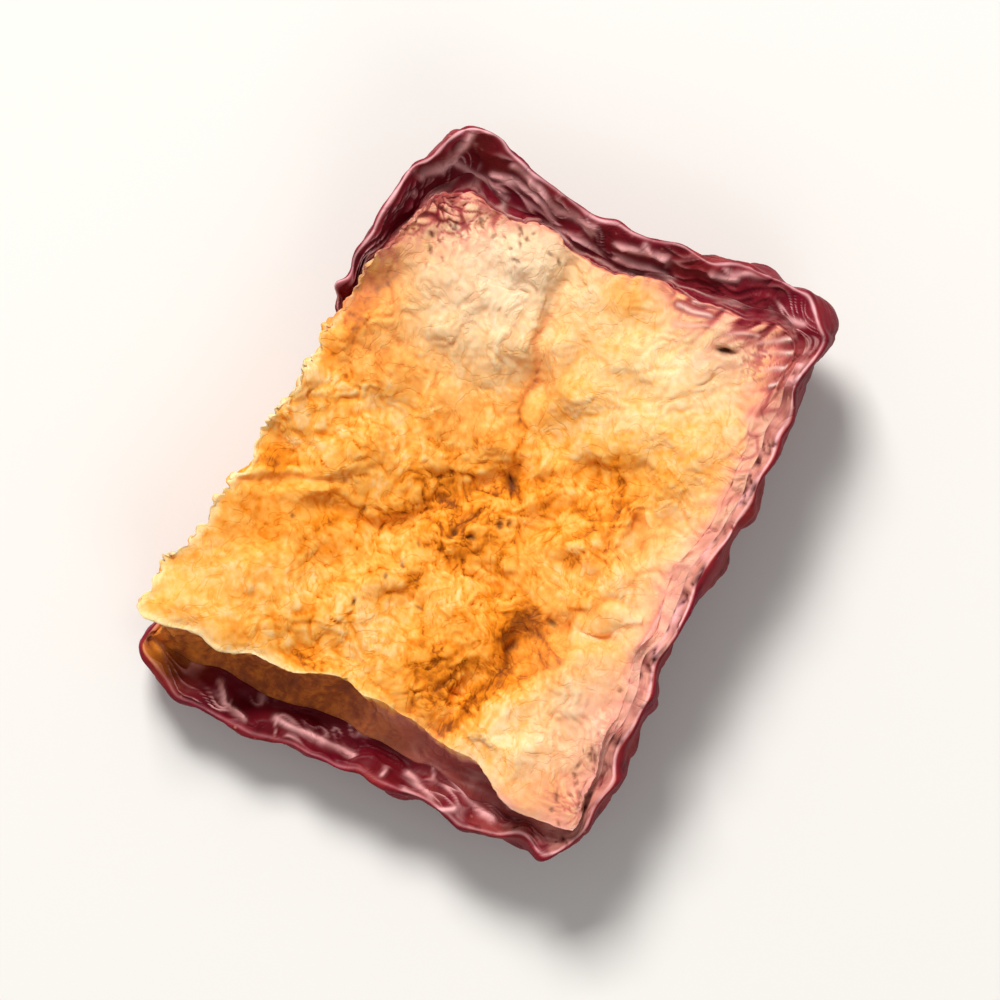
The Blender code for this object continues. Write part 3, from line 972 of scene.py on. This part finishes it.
def paint_over(tree, painted, layers, place):
    """Mixes each layer's colour over what is painted so far, by the piece's mask of its name."""
    left, top = place
    for number, (name, colour) in enumerate(layers):
        mask = mask_of(tree, name, (left, top - 150 * number))
        painted = mixed(tree, (150 * number - 500, 350), mask, painted, colour)
    return painted


def weighed(tree, place, value, weight, base):
    """A value times a weight, plus a base that is a number or another value."""
    sum_node = node(tree, "ShaderNodeMath", place, operation="MULTIPLY_ADD")
    tree.links.new(value, sum_node.inputs[0])
    sum_node.inputs[1].default_value = weight
    if isinstance(base, (int, float)):
        sum_node.inputs[2].default_value = base
    else:
        tree.links.new(base, sum_node.inputs[2])
    return sum_node.outputs[0]


VEIN_WIDTH = 0.03  # how far the noise may be from its middle value
CELL_WEIGHT = -0.35  # in the grain's height, where the noise counts as 1
VEIN_WEIGHT = -0.6
BUMP_STRENGTH = 0.6


def grain_group():
    """The fine grain of both materials. Grain is soft noise about 0. Veins are thin curly lines,
    1 where a second noise passes its middle value. Height is noise less cells and veins."""
    group = bpy.data.node_groups.new("dried_grain", "ShaderNodeTree")
    for name in ("Scale", "Vein Scale"):
        group.interface.new_socket(name, in_out="INPUT", socket_type="NodeSocketFloat")
    group.interface.new_socket("Vector", in_out="INPUT", socket_type="NodeSocketVector")
    for name in ("Grain", "Veins", "Height"):
        group.interface.new_socket(name, in_out="OUTPUT", socket_type="NodeSocketFloat")
    entry = node(group, "NodeGroupInput", (-1000, 0))
    noise = node(group, "ShaderNodeTexNoise", (-800, 100))
    set_inputs(noise, {"Detail": 5})
    cells = node(group, "ShaderNodeTexVoronoi", (-800, -200))
    curls = node(group, "ShaderNodeTexNoise", (-800, -500))
    set_inputs(curls, {"Detail": 3, "Distortion": 0.8})
    for texture, scale in ((noise, "Scale"), (cells, "Scale"), (curls, "Vein Scale")):
        group.links.new(entry.outputs["Vector"], texture.inputs["Vector"])
        group.links.new(entry.outputs[scale], texture.inputs["Scale"])
    centred = weighed(group, (-600, 100), noise.outputs["Fac"], 1.0, -0.5)
    about_middle = weighed(group, (-600, -500), curls.outputs["Fac"], 1.0, -0.5)
    off_middle = node(group, "ShaderNodeMath", (-400, -500), operation="ABSOLUTE")
    group.links.new(about_middle, off_middle.inputs[0])
    veins = node(group, "ShaderNodeMapRange", (-200, -500))
    set_inputs(veins, {"From Min": VEIN_WIDTH, "From Max": 0.0})
    group.links.new(off_middle.outputs[0], veins.inputs["Value"])
    celled = weighed(group, (-600, -200), cells.outputs["Distance"], CELL_WEIGHT, noise.outputs["Fac"])
    height = weighed(group, (0, -200), veins.outputs[0], VEIN_WEIGHT, celled)
    leave = node(group, "NodeGroupOutput", (200, 0))
    group.links.new(centred, leave.inputs["Grain"])
    group.links.new(veins.outputs[0], leave.inputs["Veins"])
    group.links.new(height, leave.inputs["Height"])
    return group


def grain_in(tree, shader, scale, vein_scale, depth):
    """Puts the grain into a material, bumps its normal, and gives the noise and the veins."""
    place = node(tree, "ShaderNodeTexCoord", (-1500, -300)).outputs["Object"]
    grain = node(tree, "ShaderNodeGroup", (-1300, -300))
    grain.node_tree = dried_grain
    set_inputs(grain, {"Scale": scale, "Vein Scale": vein_scale})
    tree.links.new(place, grain.inputs["Vector"])
    bump = node(tree, "ShaderNodeBump", (-300, -400))
    set_inputs(bump, {"Strength": BUMP_STRENGTH, "Distance": depth})
    tree.links.new(grain.outputs["Height"], bump.inputs["Height"])
    tree.links.new(bump.outputs["Normal"], shader.inputs["Normal"])
    return grain.outputs["Grain"], grain.outputs["Veins"]


# The flesh's colours, from the palest to the brownest.
FLESH_STEPS = (
    (0.00, (0.960, 0.710, 0.420)),
    (0.20, (0.930, 0.590, 0.260)),
    (0.42, (0.930, 0.420, 0.075)),
    (0.66, (0.830, 0.250, 0.010)),
    (0.86, (0.360, 0.085, 0.002)),
    (1.00, (0.200, 0.045, 0.002)),
)
# The colours that lie over them, the last on top, each with the name of its mask.
FLESH_LAYERS = (
    ("chalk", (0.930, 0.690, 0.490)),
    ("blush", (0.920, 0.490, 0.400)),
    # rose and wine: stains, partly painted shade in the fold valleys and the +X crease
    ("rose", (0.700, 0.190, 0.150)),
    ("wine", (0.190, 0.008, 0.018)),
    # pale fold ridges, partly painted highlight
    ("fold", (0.950, 0.620, 0.540)),
    # painted shade in the pores
    ("pore", (0.110, 0.026, 0.008)),
)
FLESH_GRAIN = (5200, 1300, 0.00003)  # the noise's and the veins' scale, and the bump in metres
VEIN_TONE = 0.16
GRAIN_TONE = 0.45
FLESH_SHINE = {
    "Roughness": 0.6,
    "Specular IOR Level": 0.1,
    "Subsurface Weight": 0.3,
    "Subsurface Radius": (1.0, 0.5, 0.2),
    "Subsurface Scale": 0.0007,
}

dried_grain = grain_group()
flesh_finish, tree, shader = new_finish("dried_flesh")
grain, veins = grain_in(tree, shader, *FLESH_GRAIN)
crinkled_veins = node(tree, "ShaderNodeMath", (-1100, 100), operation="MULTIPLY")
tree.links.new(veins, crinkled_veins.inputs[0])
tree.links.new(mask_of(tree, "crinkle", (-1300, 450)), crinkled_veins.inputs[1])
tone_in = mask_of(tree, "tone", (-1300, 300))
veined = weighed(tree, (-1000, 300), crinkled_veins.outputs[0], VEIN_TONE, tone_in)
grainy = weighed(tree, (-900, 300), grain, GRAIN_TONE, veined)
ramp = node(tree, "ShaderNodeValToRGB", (-750, 350))
ramp.color_ramp.elements.remove(ramp.color_ramp.elements[1])
for number, (position, colour) in enumerate(FLESH_STEPS):
    if number == 0:
        element = ramp.color_ramp.elements[0]
    else:
        element = ramp.color_ramp.elements.new(position)
    element.position = position
    element.color = (*colour, 1)
tree.links.new(grainy, ramp.inputs["Fac"])
painted = paint_over(tree, ramp.outputs["Color"], FLESH_LAYERS, (-1300, -450))
tree.links.new(painted, shader.inputs["Base Color"])
set_inputs(shader, FLESH_SHINE)
flesh.data.materials.append(flesh_finish)

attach(flesh, "root")
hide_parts("apple_piece")

# The peel
# The apple's own skin, grown onto the flesh. Drying has shrunk and wrinkled it, and its cut
# rim has curled up round three sides and out at one end like the edge of a dish.

PEEL_COLUMNS = 700
LIP_STEPS = 46
OUTSIDE_STEPS = 48
UNDER_STEPS = 36
BELLY_CURVE = 2.5
BELLY_PUCKERS = ((2.8, 0.10, 31), (1.5, 0.05, 32))
# Places and widths on the side's section, which goes from the groove over the rim and down to 1.
INSIDE_ENDS = (0.50, 0.54)  # where the peel's inside gives way to the rim's crest
CREST_AT = 0.545
SKIN_START = 0.56
SKIN_BLEND = 0.02  # how far on the skin is in full
LIP_END = 0.60  # where the rim has turned over to the outside
SKIN_LINES_FULL = 0.70
CREST_WIDTH = 0.016
CREST_SHIFT = 0.03  # how much earlier the crest comes where flesh clings to the peel's inside
GROOVE_BLEND = 0.03  # how far from the groove fine relief is in full
# The skin's wrinkles, each kind as wavelength, seed, width and depth.
SKIN_WRINKLES = ((1.7, 102, 0.22, 0.05), (0.7, 103, 0.25, 0.025))
SKIN_BEND = ((1.3, 0.25, 101),)
SKIN_RELIEF = ((0.8, 0.02, 104), (0.35, 0.010, 105))
INSIDE_RELIEF = ((0.6, 0.03, 106), (0.3, 0.015, 107))
# Folds inside the rim that run along it.
FOLD_LENGTH = 2.4
FOLD_PITCH = 0.11
FOLD_DRIFT = ((1.4, 0.9, 112),)
FOLD_STRAY = ((2.0, 0.4, 115),)
FOLD_CURLS = (1.0, 111, 0.24)
LOOSE_FOLD_HEIGHT = 0.07
LOOSE_FOLD_PATCHES = (0.45, 1.6, 0.8, 114)
SHADED_FOLD_LOSS = 0.3  # how much less the folds' painted highlight shows where painted shade darkens the inside
PEEL_FOLD_HALF_WIDTH = 0.085
DRAWN_FOLD_PATCHES = (0.9, 0.9, 0.4, 139)
# Streaks across the rim.
LIP_STREAK_PITCH = 1.1
LIP_STREAK_RUN = 0.5
LIP_STREAK_WANDER = ((0.8, 0.3, 116),)
LIP_STREAK_LINES = (1.0, 117, 0.35)
LIP_STREAK_DEPTH = 0.05
CROWDED = (0.07, 0.14)  # the distance across two columns at which fine relief starts and is full
# Flesh that still clings to the peel's inside, how deep its lines and pits are, how far its streaks
# darken it, and how much painted shade darkens its pits.
CLING_LINES = (0.50, 132, 0.25)
CLING_PITS = (0.62, 133, 0.18)
CLING_PIT_PATCHES = (0.7, 134)
CLING_PIT_RANGE = (-0.2, 0.3)
CLING_LINE_DEPTH = 0.06
CLING_PIT_DEPTH = 0.10
CLING_PALENESS = 1.1
CLING_MOTTLE = (0.85, 0.8, 0.30, 136)
CLING_STREAK_DARK = 0.5
CLING_PIT_SHADE = 0.45
# Brown crumbs of flesh on the peel's inside, at the corner at -X +Y.
CRUMB_SPOTS = ((-8.2, 5.6, 0.85, 1.0), (-7.7, 4.6, 0.5, 0.6))
CRUMB_BUMPS = (0.7, 135)
CRUMB_HEIGHT = 0.12
CRUMB_COVER = 0.8
CRUMB_COVER_SPREAD = 0.4
# A small pointed tip where the +Y rim ends: station, half width in stations and in section,
# and its push along x, y and z.
TIP_AT = 3.62
TIP_HALF_WIDTH = 0.11
TIP_HALF_HEIGHT = 0.08
TIP_PUSH = (-0.10, 0.42, 0.35)
RIM_PATCHES = (0.9, 1.2, 0.4, 113)
BLOTCH_MEAN = 0.25
BLOTCHES = ((3.0, 0.30, 121), (1.2, 0.25, 122))
# At each station: how bright the rim's pale cut edge is, partly its own colour and partly painted
# highlight, how wine-red the peel is inside, and how much painted shade darkens it there.
RIM_EDGE_AND_HIGHLIGHT = (
    *(0.3, 0.3, 0.3, 0.5, 1.0),
    *(1.0, 1.0, 0.7, 0.5, 0.6),
    *(0.9, 1.0, 1.0, 1.0, 0.9),
    *(0.6, 0.4, 0.2, 0.2, 0.2),
)
INSIDE_WINE = (
    *(1.0, 1.0, 1.0, 1.0, 1.0),
    *(1.0, 1.0, 1.0, 1.0, 1.0),
    *(0.9, 0.3, 0.2, 0.2, 0.3),
    *(0.6, 0.9, 1.0, 1.0, 1.0),
)
INSIDE_SHADE = (
    *(0.3, 0.5, 0.5, 0.5, 0.6),
    *(0.5, 0.5, 0.5, 0.5, 0.4),
    *(0.1, 0.0, 0.0, 0.0, 0.0),
    *(0.0, 0.2, 0.7, 0.8, 0.7),
)


def border(t):
    """The point of the unit square's border at each t, going clockwise from -1, 1."""
    lap = (t / SIDE_STATIONS) % 4
    a = np.interp(lap, (0, 1, 2, 3, 4), (-1, 1, 1, -1, -1))
    b = np.interp(lap, (0, 1, 2, 3, 4), (1, 1, -1, -1, 1))
    return a, b


def belly(a, b):
    """The underside over the unit square: the patch, its height falling to 0 in the middle."""
    middle = (1 - a**2) * (1 - b**2)
    xyz = patch(a, b, 1.0)
    xyz[:, 2] *= (1 - middle) ** BELLY_CURVE
    xyz[:, 2] += relief(xyz, BELLY_PUCKERS) * middle
    return xyz


peel_t = np.linspace(0, 4 * SIDE_STATIONS, PEEL_COLUMNS, endpoint=False)
lip_w = np.linspace(GROOVE_AT, LIP_END, LIP_STEPS + 1)
side_w = np.concatenate([lip_w, np.linspace(LIP_END, 1, OUTSIDE_STEPS + 1)[1:]])
square_a, square_b = border(peel_t)
under_r = np.linspace(1, 0, UNDER_STEPS + 1)[1:-1]
peel_rows = floor_rows(peel_t, 0)[::-1]
peel_rows += [ring(peel_t, np.full(PEEL_COLUMNS, w)) for w in side_w]
peel_rows += [belly(r * square_a, r * square_b) for r in under_r]
peel_points = np.concatenate([*peel_rows, [[0, 0, FLOOR_MIDDLE]], belly(np.zeros(1), np.zeros(1))])
row_w = np.concatenate([np.zeros(len(FLOOR_ROWS)), side_w, np.ones(len(under_r))])
peel_w = np.concatenate([np.repeat(row_w, PEEL_COLUMNS), [0.0, 1.0]])
peel_station = np.concatenate([np.tile(peel_t, len(peel_rows)), [0.0, 0.0]])
tip = bell(peel_station - TIP_AT, TIP_HALF_WIDTH) * bell(peel_w - CREST_AT, TIP_HALF_HEIGHT)
peel_points += tip[:, None] * TIP_PUSH
peel_points += shove(peel_points, CRUMPLES, 3)
peel_loops = np.arange(len(peel_rows) * PEEL_COLUMNS).reshape(len(peel_rows), -1)
peel_quads = loops_to_faces(peel_loops)
peel_fans = np.concatenate(
    [
        fan_to_faces(peel_loops[0], len(peel_points) - 2)[:, ::-1],
        fan_to_faces(peel_loops[-1], len(peel_points) - 1),
    ]
)

clings = 1 - along_stations(INSIDE_WINE, peel_station)
outer = ramped(peel_w + CREST_SHIFT * clings, SKIN_START, SKIN_START + SKIN_BLEND)
inside = 1 - ramped(peel_w, *INSIDE_ENDS)
skin_bent = peel_points + shove(peel_points, SKIN_BEND, 3)
skin_depth = sum(
    depth * wrinkles(skin_bent, length, seed, width)
    for length, seed, width, depth in SKIN_WRINKLES
)
fold_place = np.column_stack(
    [
        peel_station * STATION_LENGTH / FOLD_LENGTH,
        peel_w / FOLD_PITCH + relief(peel_points, FOLD_DRIFT),
        relief(peel_points, FOLD_STRAY),
    ]
)
folds = wrinkles(fold_place, *FOLD_CURLS) * inside * (1 - clings)
fold_xy = peel_points[:, :2] + shove(peel_points, FOLD_WANDER, 2)
placed_folds = drawn_folds(fold_xy, PEEL_FOLD_HALF_WIDTH) * (1 - outer)
placed_folds *= patchy(peel_points, *DRAWN_FOLD_PATCHES)
clinging = clings * (1 - outer)
cling_lines = wrinkles(skin_bent, *CLING_LINES)
cling_pits = wrinkles(skin_bent, *CLING_PITS)
cling_pits *= ramped(waves(peel_points, *CLING_PIT_PATCHES), *CLING_PIT_RANGE)
crumbs = spots(peel_points[:, :2], CRUMB_SPOTS) * (1 - outer)
crumb_bumps = waves(peel_points, *CRUMB_BUMPS)
peel_pores, peel_pore_depth = pitted(peel_points)
lip_place = np.column_stack(
    [
        peel_station * STATION_LENGTH / LIP_STREAK_PITCH,
        peel_w / LIP_STREAK_RUN,
        relief(peel_points, LIP_STREAK_WANDER),
    ]
)
lip_streaks = wrinkles(lip_place, *LIP_STREAK_LINES) * (1 - outer)
lip_streaks *= along_stations(STREAKS, peel_station)
peel_fine = (
    outer * relief(peel_points, SKIN_RELIEF)
    + (1 - outer) * relief(peel_points, INSIDE_RELIEF)
    - skin_depth * ramped(peel_w, SKIN_START, SKIN_LINES_FULL)
    + LOOSE_FOLD_HEIGHT * folds
    + FOLD_HEIGHT * placed_folds
    - LIP_STREAK_DEPTH * lip_streaks
    - clinging * (CLING_LINE_DEPTH * cling_lines + CLING_PIT_DEPTH * cling_pits)
    + CRUMB_HEIGHT * crumbs * crumb_bumps
    - (1 - outer) * peel_pore_depth
)
peel_fine *= ramped(peel_w, GROOVE_AT, GROOVE_AT + GROOVE_BLEND)  # so that it meets the flesh
# Where the inside of a corner crowds the columns together, it stays smooth.
column_grid = peel_points[:-2].reshape(len(peel_rows), PEEL_COLUMNS, 3)
spacing = np.linalg.norm(np.roll(column_grid, -1, axis=1) - np.roll(column_grid, 1, axis=1), axis=2)
roomy = ramped(spacing, *CROWDED).ravel()
peel_fine[:-2] *= np.maximum(roomy, peel_w[:-2] == 1)
peel = make_piece("apple_peel", peel_points, peel_quads, peel_fans, peel_fine)

# The rim's pale cut edge, partly its own colour and partly painted highlight.
rim_line = bell(peel_w + CREST_SHIFT * clings - CREST_AT, CREST_WIDTH)
rim_edge_and_highlight = along_stations(RIM_EDGE_AND_HIGHLIGHT, peel_station) * patchy(peel_points, *RIM_PATCHES)
# Painted shade inside the peel, most at the -X end.
inside_shade = along_stations(INSIDE_SHADE, peel_station) * inside
# the loose folds' pale ridges, partly painted highlight
fold_highlight = patchy(peel_points, *LOOSE_FOLD_PATCHES) - SHADED_FOLD_LOSS * inside_shade
# darker along the streaks, and painted shade in the pits
cling_streaks_and_shade = CLING_STREAK_DARK * lip_streaks + CLING_PIT_SHADE * cling_lines * cling_pits
keep_mask(peel, "rim", rim_line * rim_edge_and_highlight)
# pale fold ridges, partly painted highlight
keep_mask(peel, "fold", np.maximum(folds**3 * fold_highlight, FOLD_HIGHLIGHT * placed_folds))
keep_mask(peel, "pale", CLING_PALENESS * clinging * patchy(peel_points, *CLING_MOTTLE) - cling_streaks_and_shade)
# painted shade inside the peel
keep_mask(peel, "dark", inside_shade)
keep_mask(peel, "crumb", crumbs * (CRUMB_COVER + CRUMB_COVER_SPREAD * crumb_bumps))
# painted shade in the pores and pits
keep_mask(peel, "pore", (1 - outer) * np.maximum(peel_pores, clings * cling_pits))
keep_mask(peel, "blotch", BLOTCH_MEAN + relief(peel_points, BLOTCHES))

WINE = (0.210, 0.007, 0.022)
BRICK = (0.280, 0.024, 0.020)
# Dark wine: the skin's own mottling, and painted shade inside the peel and in its pits.
DARK_WINE_AND_SHADE = (0.080, 0.001, 0.005)
DOT_PINK = (0.400, 0.120, 0.080)
# The colours that lie over them, the last on top, each with the name of its mask.
PEEL_LAYERS = (
    # painted shade inside the peel
    ("dark", DARK_WINE_AND_SHADE),
    ("pale", (0.820, 0.380, 0.290)),
    ("crumb", (0.600, 0.200, 0.020)),
    # pale fold ridges, partly painted highlight
    ("fold", (0.900, 0.450, 0.450)),
    # the rim's pale cut edge, partly painted highlight
    ("rim", (0.930, 0.480, 0.510)),
    # painted shade in the pores and pits
    ("pore", DARK_WINE_AND_SHADE),
)
PEEL_GRAIN = (1800, 900, 0.00003)
MOTTLE_CONTRAST = 3.0
MOTTLE_SHARE = 0.1
DOT_SCALE = 1900
DOT_SIZE = 0.12  # of a cell, where a dot ends
DOT_CORE = 0.05  # and where it is full
PEEL_SHINE = {
    "Roughness": 0.5,
    "Specular IOR Level": 0.08,
    "Subsurface Weight": 0.05,
    "Subsurface Radius": (1.0, 0.2, 0.15),
    "Subsurface Scale": 0.0003,
    "Coat Weight": 0.03,
    "Coat Roughness": 0.3,
}

peel_finish, tree, shader = new_finish("apple_skin")
mottle, _ = grain_in(tree, shader, *PEEL_GRAIN)
blotched = mixed(tree, (-1000, 400), mask_of(tree, "blotch", (-1300, 500)), WINE, BRICK)
mottle_mask = weighed(tree, (-1000, 0), mottle, MOTTLE_CONTRAST, MOTTLE_SHARE)
clamped = node(tree, "ShaderNodeClamp", (-850, 0))
tree.links.new(mottle_mask, clamped.inputs["Value"])
mottled = mixed(tree, (-800, 400), clamped.outputs[0], blotched, DARK_WINE_AND_SHADE)

# The skin's pale dots: small discs in cells scattered over it.
dots = node(tree, "ShaderNodeTexVoronoi", (-1300, -750), feature="F1")
set_inputs(dots, {"Scale": DOT_SCALE})
dot_place = node(tree, "ShaderNodeTexCoord", (-1500, -750)).outputs["Object"]
tree.links.new(dot_place, dots.inputs["Vector"])
dot_mask = node(tree, "ShaderNodeMapRange", (-1100, -750))
set_inputs(dot_mask, {"From Min": DOT_SIZE, "From Max": DOT_CORE})
tree.links.new(dots.outputs["Distance"], dot_mask.inputs["Value"])
dotted = mixed(tree, (-700, 400), dot_mask.outputs[0], mottled, DOT_PINK)
painted = paint_over(tree, dotted, PEEL_LAYERS, (-1300, 320))
tree.links.new(painted, shader.inputs["Base Color"])
set_inputs(shader, PEEL_SHINE)
peel.data.materials.append(peel_finish)

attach(peel, "root")
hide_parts("apple_piece")

# The table
# A plain pale matt surface under the piece, much wider than the picture.

TABLE_HALF = 0.6
TABLE_DROP = 0.00002  # below the piece, so that the two don't share a plane
TABLE_CORNERS = ((-1, -1), (1, -1), (1, 1), (-1, 1))
TABLE_SHINE = {"Base Color": (0.80, 0.79, 0.77, 1), "Roughness": 0.7}

table_points = [(x * TABLE_HALF, y * TABLE_HALF, -TABLE_DROP) for x, y in TABLE_CORNERS]
table_mesh = bpy.data.meshes.new("table")
table_mesh.from_pydata(table_points, [], [(0, 1, 2, 3)])
table = bpy.data.objects.new("table", table_mesh)
bpy.context.scene.collection.objects.link(table)
table_finish, tree, shader = new_finish("pale_table")
set_inputs(shader, TABLE_SHINE)
table_mesh.materials.append(table_finish)

# Light and camera
# A wide soft lamp stands beyond the top of the picture, as in the photo, with a weak one
# opposite. The camera looks straight down, turned so that the piece lies as it does there.

PICTURE_TURN = math.radians(58.5)  # the piece's +X from the right of the picture
# Each lamp as its name, its place to the right, up and in height, size, power and colour.
LAMPS = (
    ("key_lamp", -0.08, 0.30, 0.32, 0.14, 2.40, (1.0, 0.97, 0.93)),
    ("fill_lamp", 0.15, -0.30, 0.40, 0.30, 0.35, (1.0, 0.97, 0.94)),
)
ROOM_LIGHT = {"Color": (1, 1, 1, 1), "Strength": 0.30}
CAMERA_HEIGHT = 0.30
FRAME_WIDTH = 0.027
SENSOR_WIDTH = 36
NEAREST = 0.01
FARTHEST = 10


def picture_to_table(right, up):
    """A plan point given by the picture's right and up, turned into the piece's own X and Y."""
    x = right * math.cos(PICTURE_TURN) + up * math.sin(PICTURE_TURN)
    y = -right * math.sin(PICTURE_TURN) + up * math.cos(PICTURE_TURN)
    return x, y


def add_lamp(name, right, up, height, size, power, colour):
    """A square lamp at a place in the picture, facing the piece."""
    lamp = bpy.data.lights.new(name, "AREA")
    lamp.shape = "SQUARE"
    lamp.size = size
    lamp.energy = power
    lamp.color = colour
    holder = bpy.data.objects.new(name, lamp)
    bpy.context.scene.collection.objects.link(holder)
    x, y = picture_to_table(right, up)
    holder.location = (x, y, height)
    holder.rotation_euler = (math.atan2(math.hypot(x, y), height), 0, math.atan2(x, -y))


for lamp_values in LAMPS:
    add_lamp(*lamp_values)

world = bpy.data.worlds.new("studio")
world.use_nodes = True
set_inputs(world.node_tree.nodes["Background"], ROOM_LIGHT)
bpy.context.scene.world = world
bpy.context.scene.view_settings.view_transform = "Standard"

camera_data = bpy.data.cameras.new("camera")
camera_data.sensor_width = SENSOR_WIDTH
camera_data.lens = SENSOR_WIDTH * CAMERA_HEIGHT / FRAME_WIDTH
camera_data.clip_start = NEAREST
camera_data.clip_end = FARTHEST
camera = bpy.data.objects.new("camera", camera_data)
camera.location = (0, 0, CAMERA_HEIGHT)
camera.rotation_euler = (0, 0, -PICTURE_TURN)
bpy.context.scene.collection.objects.link(camera)
bpy.context.scene.camera = camera
